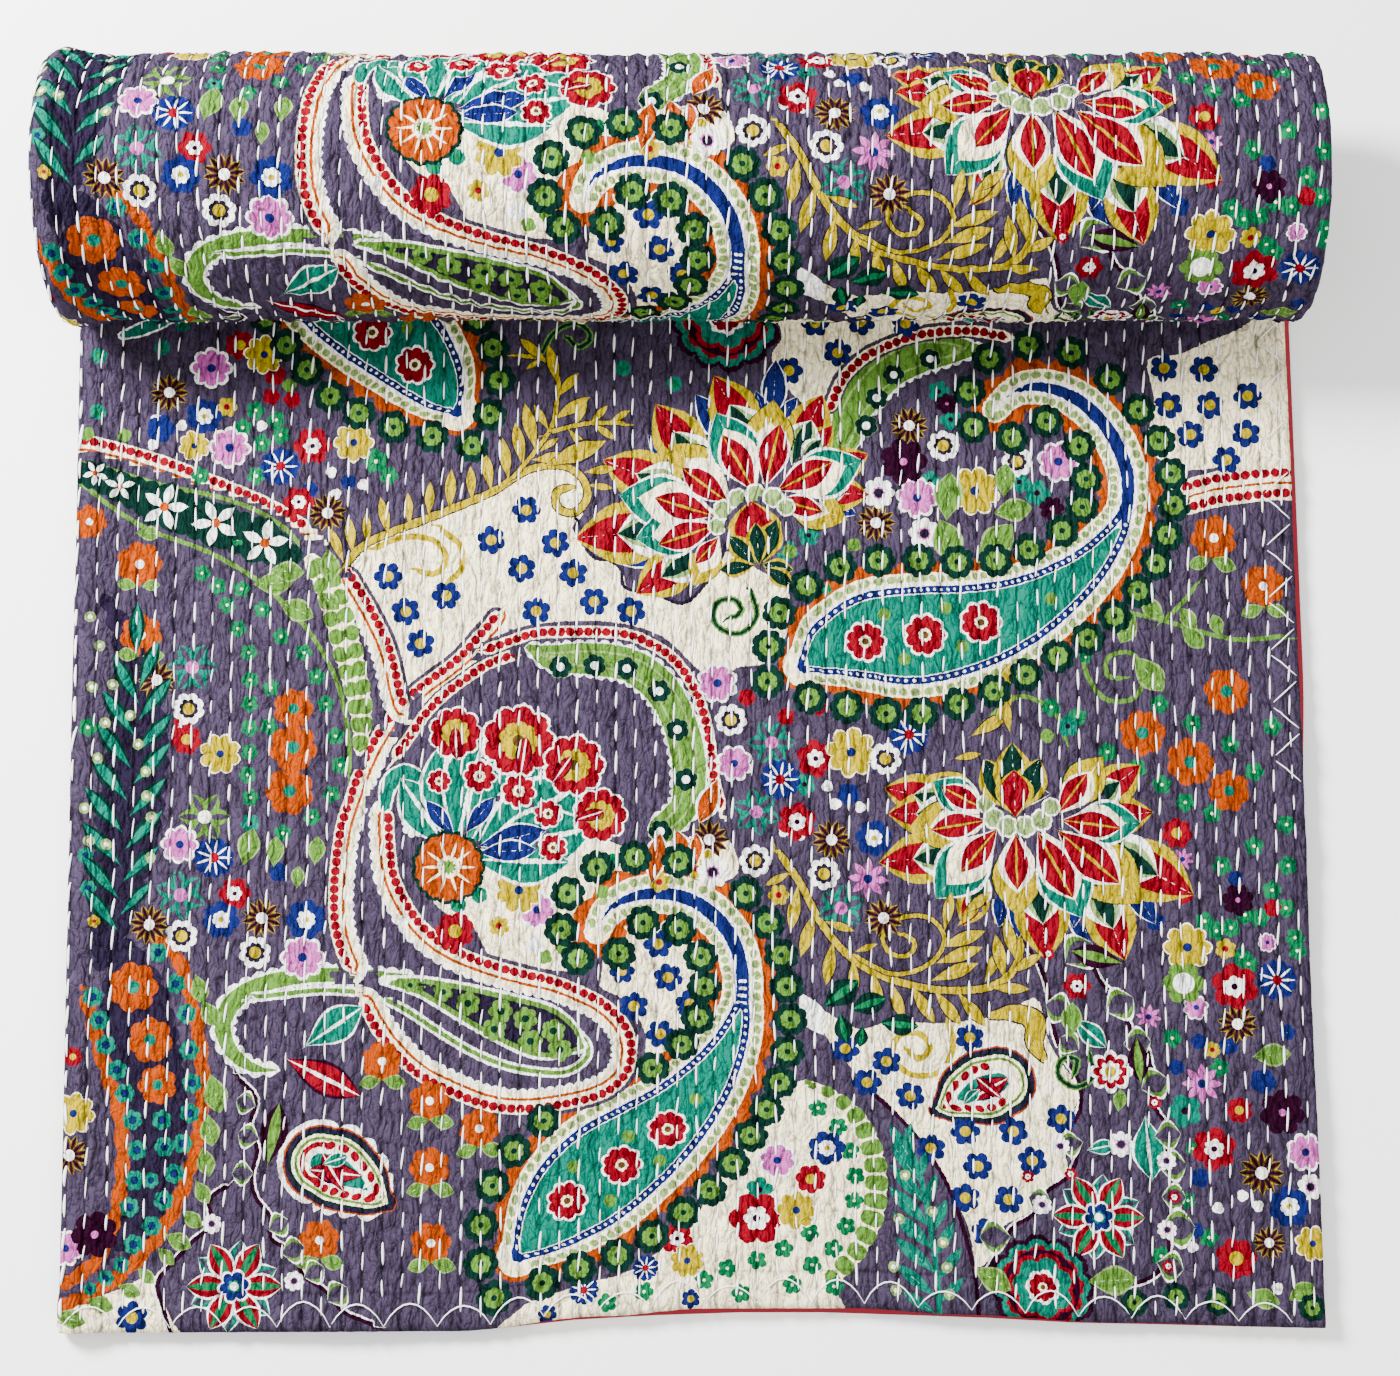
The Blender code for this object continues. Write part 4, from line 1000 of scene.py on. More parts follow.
# The poppy fan, the yellow plumes and the ferns.
SPRAYS = (
    (TEAL_PETAL, 1.0,
     "23.6,29,20.6,33.4 23.6,29.2,23.4,35.8 24,29.2,26,36.6 24.6,29,29,35.6 25,28.8,32,33.2"
     " 25,28.6,32.6,30.4 25,28.4,31,28.2"),
    (BLUE_PETAL, 1.0, "24,29.8,22.2,32 24.6,30,26.4,32.2 25.4,29.2,29.6,30.2 25.4,28.8,29,29"),
    (POPPY, 1.6, "24,36.2,1.7 27.9,35.7,2.35 31.3,34.2,2.0 32.9,31.1,1.75"),
    (RED_LEAF, 1.0, "28,33.4,28.4,36 24.1,34.4,24,36.6 29.9,33,31.2,34.8 31.4,30.8,33.2,31.4"),
    (DROPS, 1.25, "23,33.2,0.8 25.5,33.5,1.1 27.9,32.6,1.15 29.7,31.2,0.95 30,29.1,0.95"),
    (ORANGE_DISC, 2.3, "23.6,27.9"),
    (RAYS, 1.65, "23.6,27.9"),
    (YELLOW_LEAF, 1.0,
     "17,46.9,16.2,49 17.6,47.4,17.3,49.8 18.5,48,18.4,50 19.8,48.6,19.3,51 21.1,49.2,21,51.3"
     " 22.3,49.8,22.4,52 23.6,50.2,23.7,52.8 25,50.8,24.9,53 26.2,51.4,25.8,53.9 27.3,52.1,26.9,54.8"
     " 28.2,53,27.7,55.8 29,54,28.3,57 29.8,55.3,28.9,56.9 29.2,53.9,30.4,54.8 28.7,53.4,31.6,53.6"
     " 30.1,56,32.4,57.4 30.3,57.4,31.7,59 30.4,58.2,29.8,60.8 31,55.4,32.2,54 31.4,55.6,32.2,57"
     " 32.4,55.7,33.5,56.9 32.6,55.7,34,54.7 33.6,55.8,34.9,56.6 29.5,53,33.4,54.6 32,52.6,34,52.9"
     " 32.2,51.8,33.8,51.6 29.7,59.7,28,61.2 29.4,59.9,28.4,59.2 45,26.8,44.5,24 46,25.2,45.1,22.4"
     " 47.1,23.4,46.6,20.6 48.3,22.3,48.3,19.8 49.4,21.6,49.9,19 50.5,20.9,51.3,18.4 51.8,20.6,53.2,18.2"
     " 53.2,20.3,54.8,18.1 54.6,20.2,56.3,18 53,20.9,55.9,22 53.3,22,56.2,23 53.6,23,56.4,24"
     " 53.9,24,54.4,26.4 54.7,24.3,56.2,25.8 56.3,20.8,57.3,23 57.5,21,57,23.8 57.8,21.4,59.8,22.6"
     " 58.2,22.2,57.6,24.8 46.6,24.6,48.4,24 48.4,22.7,49.8,23.2 44.6,27.6,43,26.8 56.6,20.5,59,20.4"
     " 55,25,56.8,26.4"),
    (FERN, 1.0,
     "3.4,24,1.4,26.6 3.4,26,1.2,28.6 3.5,28,1.2,30.6 3.6,30,1.3,32.8 3.8,32,1.6,34.8 4,34,1.9,36.8"
     " 4.2,36,2.2,38.8 4.4,38,2.8,41 3.5,25,5.4,27 3.6,27,5.8,29.2 3.7,29,6,31.4 3.9,31,6.2,33.4"
     " 4.1,33,6.4,35.6 4.3,35,6.5,37.4 4.4,37,6.4,39.6 4.4,39,5.6,42 4.2,41,4.2,44.4"),
    (TEAL_LEAF, 1.0,
     "52.9,1,50.6,2.8 53,2.4,50.5,4.4 52.9,3.8,50.4,6 52.7,5.2,50.2,7.6 52.5,6.6,50.3,9 52.1,8,50.4,10.4"
     " 51.7,9.2,50.3,11.6 53,0.6,54.6,2.2 53,2,54.5,4 52.9,3.4,54.1,5.6 52.7,4.8,53.7,7 52.4,6.4,53.1,8.6"
     " 52,8,52.5,10 51.5,9.6,51.6,11.8 52.9,0,50.9,1.2"),
    (PALE_DOT, 0.34,
     "2.8,39.2 3.9,37.3 4.4,35.5 4.9,33.8 5,32.3 5.3,31 1.3,31.5 1.6,29.5 2.6,29.3 5.3,28.5 2,41.6"
     " 1.4,43.4 50.4,2.6 53.6,2.8 53.7,1.2 50.5,1.2 53.4,4.3 50.8,5.6 52.8,6.2 51.2,8.4 2,34.6 2.4,36.8"
     " 1.6,39"),
)

# The leaves and small flowers along the garlands, and round the drop shapes.
TRIMMINGS = (
    (RED_LEAF, 1.0,
     "13.7,16.3,18.3,14 18.6,9.2,15.2,9.6 17.4,8.2,16,10.6 55,13.2,57.6,14.8 57.2,13.4,55.6,14.8"),
    (TEAL_PETAL, 1.0,
     "14.9,17,18.4,19.4 61.6,18.6,63.6,16.8 65.8,12.6,66.1,8.6 62.2,10.4,64,10.8 16,9.9,17.6,10.4"
     " 54.8,13,55.8,14"),
    (ARC, 1.0,
     "61.2,22,62.9,23.3 63.6,19,65.3,19.9 64.6,17,66.3,17.2 65.6,14.2,67.2,14.9 66.3,11.3,67.9,11.5"
     " 66.5,9.4,68.2,9.6 66.6,7.6,68.1,7.6 66.5,5.6,68.6,5.8 66.2,3.6,67.8,3.2 61.6,18.9,60,19.5"
     " 61.9,16.6,60.8,17.4 62,10.9,60.6,10.6 60,7,58.6,7.3 57.5,4.8,55.6,4.7 12,13.4,10.8,13.8"
     " 12.2,11.4,10.9,11.8 11.9,9.4,10.6,9.4 12.8,6,14,6.6 13.6,4.6,15,5 15,3.2,16.2,3.8"
     " 16.4,1.8,17.6,2.6"),
    (MAROON_LEAF, 1.0, "12.7,9.8,13.4,13.6 65.4,17.6,65.6,14.6 64.8,22,61.6,22.8"),
    (GREEN_LEAF, 1.0, "64.2,12.8,64.4,14.2 61.4,17.4,61.6,19.6 62,2.4,65,2.6 55.2,2.8,57.4,1.6"),
    (DARK_LEAF, 1.0,
     "46.4,19.2,48.6,20.9 48,19,50.3,19.8 47.4,18.8,47.8,16.9 49.8,18.2,52.2,18 48.8,18,48.6,16.6"),
    (WHITE_LEAF, 1.0, "45,20.2,46.4,17.4"),
    (RED_STAR, 1.35, "63.8,15.3"),
    (RED_WHITE, 1.0,
     "61.9,20.6,0.85 60.2,22.6,0.4 66.4,13.4,0.4 67.4,7.6,0.4 66.9,3.4,0.4 58.6,8.6,0.4 61.2,8.9,0.4"),
    (PALE_RING, 0.8, "64.3,10.8 9.4,6.4,0.6 14.4,3,0.6 60.6,10.6,0.6 59.4,6.9,0.6 67,9.8,0.6 66.9,5.6,0.6"),
    (SPRIG, 0.75,
     "21.3,20.7,0.5 23.3,20.3,0.6 24.8,19.6 26.8,19.1 28.3,18.6 30,17.8 28.6,17.2 30.4,16.6 26.4,18"),
    (HEART, 0.75,
     "30.5,40.3 32.6,40.4 34.6,40.2 36.6,38.8 37.7,36.4 38.2,33.3 36.6,30.1 49.7,55.6 50.4,57.4"),
    (HEART, 0.7, "51.5,58.9 53.8,59.9"),
    (ORANGE_LEAF, 1.0, "36,26.8,36.6,30 38.4,27.2,37.6,30.2 40.2,33.4,39,30.6 38.8,28,38.8,30"),
)

# The flowers round each paisley, and the rosettes inside them.
CHAINS = (
    (CHAIN, 1.1,
     "26.4,1.8 25.6,3.9 25.6,6.2 26.3,8.5 27.6,10.5 29.4,12.2 36,15.3 37.8,16.8 38.8,18.5 39.2,20.5"
     " 39,22.4 37.7,24.1 35.5,24.5 34,22.6 31.5,22.3 30.5,24.1 30.9,26.3 32.7,27.9 35,28.5 37.7,28.3"
     " 29.3,2.3 31.5,2.9 33.8,3.6 35.9,4.6 37.8,5.9 39.4,7.3 40.8,9 41.9,10.8 42.9,12.5 43.7,14.3"
     " 44.2,16.3 44.4,18.4 44.2,20.5 43.9,22.5 43.1,24.5 41.8,26.3"),
    (CHAIN, 1.1,
     "45.9,38.4 48.2,37.8 50.6,37.4 52.8,37.4 55.1,38 57.3,38.8 59.3,39.8 61.3,41 63.2,42.1 64.9,43.5"
     " 66.4,45.1 67.6,46.8 68.3,48.6 68.8,50.5 68.7,52.5 68,54.6 66.8,56.6 65.1,58.6 62.7,60.3 60,60.8"
     " 57.5,59.9 56.2,57.8 56.4,55.5 43.3,39.4 43.4,41.6 44.1,43.7 45.8,45.4 47.9,46.6 50.3,47 52.8,47"
     " 55.2,46.9 57.6,47 59.7,47.7 61.8,48.9 63.1,50.4 63.4,52.2 63,54.3 61,55.9 58.8,54.8"),
    (CHAIN, 1.1,
     "13.3,60.8 14.6,59.2 16.1,57.5 17.9,56.4 20.1,55.5 22.5,54.9 25,54.3 26.1,56.3 26.7,58.5 26.3,60.6"
     " 25.3,62.5 12,62.6"),
    (ROSETTE, 1.3,
     "30.8,7.1 34.1,9.2 36.9,11.3 49.4,41.9,1.35 53.1,42.3,1.4 56.6,43.1,1.4 18.7,61.6 21.4,59.5"),
    (LEAF_BUD, 0.4,
     "31.2,9.2 34.5,11 33.4,7 36.4,9.3 38.6,13.2 51.8,40.8 55.4,41.6 54.4,44 61,44.6 50.6,43.6 20.9,61.9"),
)

BIG_STAR = ((STAR_BACK, 0.95, 0.39), (STAR, 1.0, 0.0), (STAR_HEART, 0.36, 0.2))
BIG_MEDALLION = ((SCALLOP, 1.0, 0.1), (MEDALLION, 0.66, 0.4), (ROSETTE, 0.3, 0.0))


class Print:
    """The print as motifs, strokes and grounds, each list lowest first."""

    turn_step = 0.7
    ground_step = 0.4

    def __init__(self) -> None:
        """Set everything out."""
        self.motifs: list[Motif] = []
        self.strokes: list[Stroke] = []
        self.grounds: list[Array] = []
        for text in GROUNDS:
            outline = places(text)
            self.grounds.append(smooth_line(np.vstack([outline, outline[:1]]), self.ground_step))
        self.draw(BANDS)
        for table in (FILLERS, LOTUSES, SPRAYS):
            self.lay(table)
        self.stack("10.8,2.7,2.9 62.8,6.3,2.8", BIG_STAR)
        self.stack("59.3,1.9,3.2 41,62.6,3.6", BIG_MEDALLION)
        for table in (TRIMMINGS, CHAINS):
            self.lay(table)

    def lay(self, table: tuple[tuple[Any, float, str], ...]) -> None:
        """Lay out a table of motifs.

        Args:
            table: for each row a bloom or layers of blooms, their size, and their places.
        """
        for blooms, size, text in table:
            for bloom, share in blooms if isinstance(blooms, tuple) else ((blooms, 1.0),):
                for index, place in enumerate(text.split()):
                    u, v, *rest = (float(number) for number in place.split(","))
                    if len(rest) == 2:
                        run_u, run_v = rest[0] - u, rest[1] - v
                        radius, turn = math.hypot(run_u, run_v) * size, math.atan2(run_v, run_u)
                    else:
                        radius, turn = rest[0] if rest else size, self.turn_step * index
                    self.motifs.append(Motif(bloom, u, v, radius * share, turn))

    def stack(self, text: str, layers: tuple[tuple[Bloom, float, float], ...]) -> None:
        """Lay blooms on one another at each place: every layer's bloom, share of the size, and turn."""
        for u, v, size in places(text):
            for bloom, share, turn in layers:
                self.motifs.append(Motif(bloom, u, v, size * share, turn))

    def draw(self, table: tuple[tuple[Any, ...], ...]) -> None:
        """Draw a table of bands.

        Args:
            table: for each row a style, its places, and where its dots stop, if they do.
        """
        for style, text, *stop in table:
            line = places(text)
            if line.shape[1] == 2:
                line = np.column_stack([line, np.zeros(len(line))])
            line = smooth_line(line)
            plain_after = nearest_on(line, np.array(stop))[0][0] if stop else PAST_ANY_END
            self.strokes.append(Stroke(style, line, float(plain_after)))

    def wash(self, spots: Array) -> Array:
        """How far each spot lies inside the cream ground, in centimetres; negative on the slate."""
        depth = np.full(len(spots), -1.0)
        for outline in self.grounds:
            low, high = outline.min(0) - 1.0, outline.max(0) + 1.0
            near = np.flatnonzero(((spots > low) & (spots < high)).all(1))
            if not len(near):
                continue
            line = np.column_stack([outline, np.zeros(len(outline))])
            away = np.abs(nearest_on(line, spots[near])[1])
            x, y = spots[near].T
            (ax, ay), (bx, by) = outline[:-1].T[:, :, None], outline[1:].T[:, :, None]
            rise = np.where(by == ay, 1, by - ay)
            crosses = ((ay > y) != (by > y)) & (x < (bx - ax) * (y - ay) / rise + ax)
            inside = crosses.sum(0) % 2 == 1
            depth[near] = np.maximum(depth[near], np.where(inside, away, -away))
        return depth


@dataclass
class Painter:
    """Writes the print onto the cloth's faces, so that the shader can draw its edges exactly.

    Each face keeps the topmost motifs and bands that touch it. A corner says where it lies on them,
    and the face says what they are.
    """

    design: Print
    path: ClothPath
    motif_slots: int = 3
    band_slots: int = 2
    # In centimetres: the print's repeat, where its second run starts, how far the lower leaf's part
    # lies from the upper's, and how the run over the roll is narrowed about its middle and leans.
    repeat: float = 55.0
    join: float = 64.0
    lower_shift: float = 76.2
    roll_middle: float = 38.0
    roll_narrowing: float = 1.02
    roll_lean: float = 0.03
    roll_lean_from: float = 8.0
    # A corner's place on a motif that its face hasn't got, well outside it.
    off_motif: float = 9.0

    def canvas(self, u: Array, v: Array, face_v: Array) -> Array:
        """Find which part of the layout lies at a place on the cloth.

        Args:
            u: across the cloth, in metres.
            v: along it.
            face_v: along it for the middle of the face that the place belongs to.

        Returns:
            Places on the layout, in centimetres.
        """
        across, along, middle = u * 100, v * 100, face_v * 100
        across = np.where(across < -2, across + self.lower_shift, across)
        turns = np.maximum(np.floor((middle - self.join) / self.repeat) + 1, 0)
        rolled = np.minimum(turns, 1)
        middle_of = self.roll_middle
        across = across + rolled * (middle_of + (across - middle_of) / self.roll_narrowing - across)
        lean = rolled * self.roll_lean * (across - self.roll_lean_from)
        return np.column_stack([across, along - turns * self.repeat + lean])

    def paint(self, mesh: Mesh) -> None:
        """Write the print's attributes on a flat sheet.

        Args:
            mesh: the sheet, with its cloth coordinates in the attribute "cloth".
        """
        flat = np.empty(len(mesh.vertices) * 3)
        mesh.attributes["cloth"].data.foreach_get("vector", flat)
        flat = flat.reshape(-1, 3)
        corner_vertex = np.empty(len(mesh.loops), int)
        mesh.loops.foreach_get("vertex_index", corner_vertex)
        sizes = np.empty(len(mesh.polygons), int)
        mesh.polygons.foreach_get("loop_total", sizes)
        face_of = np.repeat(np.arange(len(sizes)), sizes)
        corner = flat[corner_vertex]
        middle = np.column_stack([np.bincount(face_of, corner[:, axis]) / sizes for axis in range(3)])
        printed = middle[:, 2] > -self.path.leaf * 0.9
        spots = self.canvas(corner[:, 0], corner[:, 1], middle[face_of, 1])
        centre = np.column_stack([np.bincount(face_of, spots[:, axis]) / sizes for axis in range(2)])
        reach = np.zeros(len(sizes))
        np.maximum.at(reach, face_of, np.hypot(*(spots - centre[face_of]).T))
        self.paint_ground(mesh, spots, printed[face_of])
        self.paint_bands(mesh, spots, face_of, centre, reach, printed)
        self.paint_motifs(mesh, spots, face_of, centre, reach, printed)

    def paint_ground(self, mesh: Mesh, spots: Array, printed: Array) -> None:
        """Write how far each corner lies inside the cream ground."""
        depth = np.full(len(spots), -1.0)
        depth[printed] = self.design.wash(spots[printed])
        mesh.attributes.new("ground", "FLOAT", "CORNER").data.foreach_set("value", depth)

    def paint_bands(
        self, mesh: Mesh, spots: Array, face_of: Array, centre: Array, reach: Array, printed: Array
    ) -> None:
        """Write the topmost bands of each face and where its corners lie on them.

        Args:
            mesh: the sheet.
            spots: where each corner lies on the layout.
            face_of: each corner's face.
            centre: each face's middle on the layout.
            reach: how far each face's corners lie from that.
            printed: whether each face takes the print.
        """
        slots = self.band_slots
        where = np.zeros((slots, len(spots), 3))
        style = np.full((slots, len(reach)), -1.0)
        for stroke in self.design.strokes:
            look = stroke.style
            wide = look.inks[-1][0] + 0.35
            low, high = stroke.line[:, :2].min(0) - wide - 3, stroke.line[:, :2].max(0) + wide + 3
            near = np.flatnonzero(printed & ((centre > low) & (centre < high)).all(1))
            if not len(near):
                continue
            along, away, half = nearest_on(stroke.line, centre[near])
            home, side = np.zeros((2, len(reach)))
            home[near], side[near] = along, away
            span = reach[near] + 0.1
            if look.outline:
                gap = np.abs(away) - half
                touched = near[(gap < wide + span) & (gap > look.low - span)]
            else:
                touched = near[(np.abs(away) < wide + span) & (away > look.low - 0.3 - span)]
            chosen = np.zeros(len(reach), bool)
            chosen[touched] = True
            corners = np.flatnonzero(chosen[face_of])
            if not len(corners):
                continue
            along, away, half = nearest_on(stroke.line, spots[corners])
            if look.outline:
                gap = np.abs(away) - half
            else:
                # A face between two turns of a curl keeps one side, or a false line would cross it.
                face = face_of[corners]
                other_turn = np.abs(along - home[face]) > 4 * reach[face] + 0.4
                gap = np.where(other_turn, np.copysign(away, side[face]), away)
            style[:-1, touched] = style[1:, touched]
            where[:-1, corners] = where[1:, corners]
            style[-1, touched] = STYLES.index(look)
            where[-1, corners] = np.column_stack([along, gap, along - stroke.plain_after])
        for slot in range(slots):
            spot = mesh.attributes.new(f"band{slot}", "FLOAT_VECTOR", "CORNER")
            spot.data.foreach_set("vector", where[slot].ravel())
            kind = mesh.attributes.new(f"style{slot}", "FLOAT", "FACE")
            kind.data.foreach_set("value", style[slot])

    def paint_motifs(
        self, mesh: Mesh, spots: Array, face_of: Array, centre: Array, reach: Array, printed: Array
    ) -> None:
        """Write the topmost motifs of each face and where its corners lie on them.

        Args:
            mesh: the sheet.
            spots: where each corner lies on the layout.
            face_of: each corner's face.
            centre: each face's middle on the layout.
            reach: how far each face's corners lie from that.
            printed: whether each face takes the print.
        """
        slots, motifs = self.motif_slots, self.design.motifs
        chosen = np.full((slots, len(reach)), -1)
        order = np.flatnonzero(printed)
        middle, span = centre[order], reach[order]
        for number, motif in enumerate(motifs):
            off = middle - (motif.u, motif.v)
            close = np.abs(off).max(1) < motif.radius + span
            near, off, size = order[close], off[close], span[close]
            if motif.bloom.petals == 1:
                along = off @ (math.cos(motif.turn), math.sin(motif.turn))
                aside = np.abs(off @ (-math.sin(motif.turn), math.cos(motif.turn)))
                share = np.clip(along / motif.radius, 0.1, 0.9) ** PETAL_SWELL
                belly = motif.bloom.depth * np.sin(np.pi * share)
                hit = (along > -size) & (along < motif.radius + size) & (aside < belly * motif.radius + size)
            else:
                hit = np.hypot(*off.T) < motif.radius + size
            near = near[hit]
            chosen[:-1, near] = chosen[1:, near]
            chosen[-1, near] = number
        table = np.array([self.traits(motif) for motif in motifs])
        frames = np.array([(m.u, m.v, math.cos(m.turn), math.sin(m.turn), m.radius) for m in motifs])
        for slot in range(slots):
            number = chosen[slot]
            used = number >= 0
            u, v, cosine, sine, radius = frames[number[face_of]].T
            dx, dy = spots[:, 0] - u, spots[:, 1] - v
            x, y = (dx * cosine + dy * sine) / radius, (dy * cosine - dx * sine) / radius
            petals = table[number[face_of], 0]
            x = np.where(used[face_of], x, self.off_motif)
            local = mesh.attributes.new(f"local{slot}", "FLOAT_VECTOR", "CORNER")
            local.data.foreach_set("vector", np.column_stack([x, y, petals]).ravel())
            for part in range(3):
                values = table[number, 1 + 3 * part : 4 + 3 * part]
                trait = mesh.attributes.new(f"trait{slot}{part}", "FLOAT_VECTOR", "FACE")
                trait.data.foreach_set("vector", values.ravel())

    @staticmethod
    def traits(motif: Motif) -> tuple[float, ...]:
        """List a motif's numbers: petals, then three rows of three for the shader.

        Args:
            motif: the motif.

        Returns:
            Its ten numbers, with each ink as its place on the palette.
        """
        bloom = motif.bloom
        return (
            bloom.petals, float(bloom.loose), bloom.depth, bloom.edge, bloom.core, bloom.eye,
            bloom.edge_ink.value, bloom.petal_ink.value, bloom.core_ink.value, bloom.eye_ink.value,
        )


# ---- the finishes


def add(tree: NodeTree, kind: str, *inputs: Any, **settings: Any) -> Any:
    """Add a shader node.

    Args:
        tree: where it goes.
        kind: its type without the leading ShaderNode, or in capitals a Math node's operation.
        inputs: for each input in order a socket to link, a value to set, or None to leave it.
        settings: its own properties; "out" picks the output that is returned.

    Returns:
        The node's output socket, or the node itself where it has none.
    """
    out = settings.pop("out", 0)
    if kind.isupper():
        kind, settings["operation"] = "Math", kind
    node = tree.nodes.new("ShaderNode" + kind)
    for name, value in settings.items():
        setattr(node, name, value)
    for socket, value in zip(node.inputs, inputs):
        if isinstance(value, bpy.types.NodeSocket):
            tree.links.new(value, socket)
        elif value is not None:
            socket.default_value = value
    return node.outputs[out] if len(node.outputs) else node


@dataclass
class PrintedCotton:
    """Cotton voile, screen-printed in flat matte inks, washed and a little faded.

    It gives the eye crisp flat colours that break up where the cloth puckers: creases run between the stitch
    rows as bump, and painted shade darkens the colour in them, in the row furrows and along the front hem's
    fold line. The light falls softly, with no shine.
    """

    # Real threads are about 0.3 mm apart, too fine for this picture, so the weave is drawn coarser.
    thread_pitch_mm: float = 1.1
    hem_depth: float = 0.023
    # Waves a metre of the ink's uneven edge, of fading, of threadbare streaks and of the creases' bend.
    bleed_waves: float = 420.0
    fade_waves: float = 55.0
    streak_waves: float = 700.0
    warp_waves: float = 60.0
    pucker_waves: float = 90.0
    warp_reach: float = 0.005
    # Each run of creases: width in mm, direction in radians, stretch along it, and its own shift.
    # The real ones go down to 1 mm. The finest here is drawn coarser, so that it shows.
    creases: tuple[tuple[float, float, float, float], ...] = (
        (11.0, 0.32, 0.3, 0.0),
        (8.0, -0.28, 0.26, 3.0),
        (5.5, 0.9, 0.6, 7.0),
    )
    # How far the painted shade darkens the colour in the creases and row furrows, and along the hem's fold
    # line.
    crease_painted_shade: float = 0.55
    hem_painted_shade: float = 0.62
    relief_depth: float = 0.0085
    roughness: float = 0.88

    def build(self) -> Material:
        """Make the material that draws the print from the cloth's attributes.

        Returns:
            The material.
        """
        material = bpy.data.materials.new("printed_cotton_voile")
        material.use_nodes = True
        tree = material.node_tree
        put = partial(add, tree)
        shader = tree.nodes["Principled BSDF"]
        cloth = put("Attribute", attribute_name="cloth", out=1)
        bleed = put("TexNoise", cloth, None, self.bleed_waves, 2.0, noise_dimensions="2D")
        ink = self.ground(tree, bleed)
        for slot in (0, 1):
            spot = put("Attribute", attribute_name=f"band{slot}", out=1)
            kind = put("Attribute", attribute_name=f"style{slot}", out=2)
            ink = self.layer(tree, self.band_group(), ink, spot, kind, bleed)
        for slot in (0, 1, 2):
            local = put("Attribute", attribute_name=f"local{slot}", out=1)
            traits = [put("Attribute", attribute_name=f"trait{slot}{row}", out=1) for row in range(3)]
            ink = self.layer(tree, self.motif_group(), ink, local, *traits, bleed)
        colour = self.palette(tree, ink)
        fade = put("TexNoise", cloth, None, self.fade_waves, 3.0, noise_dimensions="2D")
        fade = put("MapRange", fade, 0.3, 0.7, 0.88, 1.06)
        streak = put("Mapping", cloth, None, None, (1.0, 0.22, 1.0))
        streak = put("TexNoise", streak, None, self.streak_waves, 2.0, noise_dimensions="2D")
        streak = put("MapRange", streak, 0.3, 0.7, 0.9, 1.06)
        # The tone: the ink's random fading and threadbare streaks, then the painted shade of the creases,
        # row furrows and hem line.
        tone = put("MULTIPLY", fade, streak)
        tone = put("MULTIPLY", tone, self.relief_and_painted_shade(tree, cloth, shader))
        colour = put("VectorMath", colour, None, None, tone, operation="SCALE")
        tree.links.new(colour, shader.inputs["Base Color"])
        shader.inputs["Roughness"].default_value = self.roughness
        shader.inputs["Specular IOR Level"].default_value = 0.0
        return material

    def palette(self, tree: NodeTree, ink: Any) -> Any:
        """Turn an ink's number into its colour."""
        put = partial(add, tree)
        share = put("ADD", ink, 0.5)
        share = put("DIVIDE", share, float(len(Ink)))
        colour = put("ValToRGB", share)
        ramp = colour.node.color_ramp
        ramp.interpolation = "CONSTANT"
        for entry in Ink:
            stop = ramp.elements[0] if entry.value == 0 else ramp.elements.new(entry.value / len(Ink))
            if entry.value == 1:
                ramp.elements.remove(ramp.elements[-1])
            stop.color = linear(PALETTE[entry])
        return colour

    def ground(self, tree: NodeTree, bleed: Any) -> Any:
        """Pick slate or cream, with a jagged printed edge between them."""
        put = partial(add, tree)
        depth = put("Attribute", attribute_name="ground", out=2)
        jagged = put("MULTIPLY_ADD", bleed, 0.16, -0.08)
        depth = put("ADD", depth, jagged)
        return put("GREATER_THAN", depth, 0.0)

    def layer(self, tree: NodeTree, group: NodeTree, under: Any, *inputs: Any) -> Any:
        """Lay a group's ink over the one below it where the group covers."""
        node = tree.nodes.new("ShaderNodeGroup")
        node.node_tree = group
        for socket, value in zip(node.inputs, inputs):
            tree.links.new(value, socket)
        cover, ink = node.outputs
        mixed = tree.nodes.new("ShaderNodeMix")
        for socket, value in zip(mixed.inputs, (cover, None, under, ink)):
            if value is not None:
                tree.links.new(value, socket)
        return mixed.outputs[0]

    def group(
        self, name: str, inputs: tuple[tuple[str, str], ...]
    ) -> tuple[NodeTree, list[Any], bool]:
        """Open a node group, new or already made.

        Args:
            name: its name.
            inputs: the name and socket type of each input.

        Returns:
            The group, its inside input sockets, and whether it still has to be filled.
        """
        if name in bpy.data.node_groups:
            return bpy.data.node_groups[name], [], False
        tree = bpy.data.node_groups.new(name, "ShaderNodeTree")
        for title, kind in inputs:
            tree.interface.new_socket(title, in_out="INPUT", socket_type="NodeSocket" + kind)
        for title in ("cover", "ink"):
            tree.interface.new_socket(title, in_out="OUTPUT", socket_type="NodeSocketFloat")
        return tree, list(tree.nodes.new("NodeGroupInput").outputs)[: len(inputs)], True

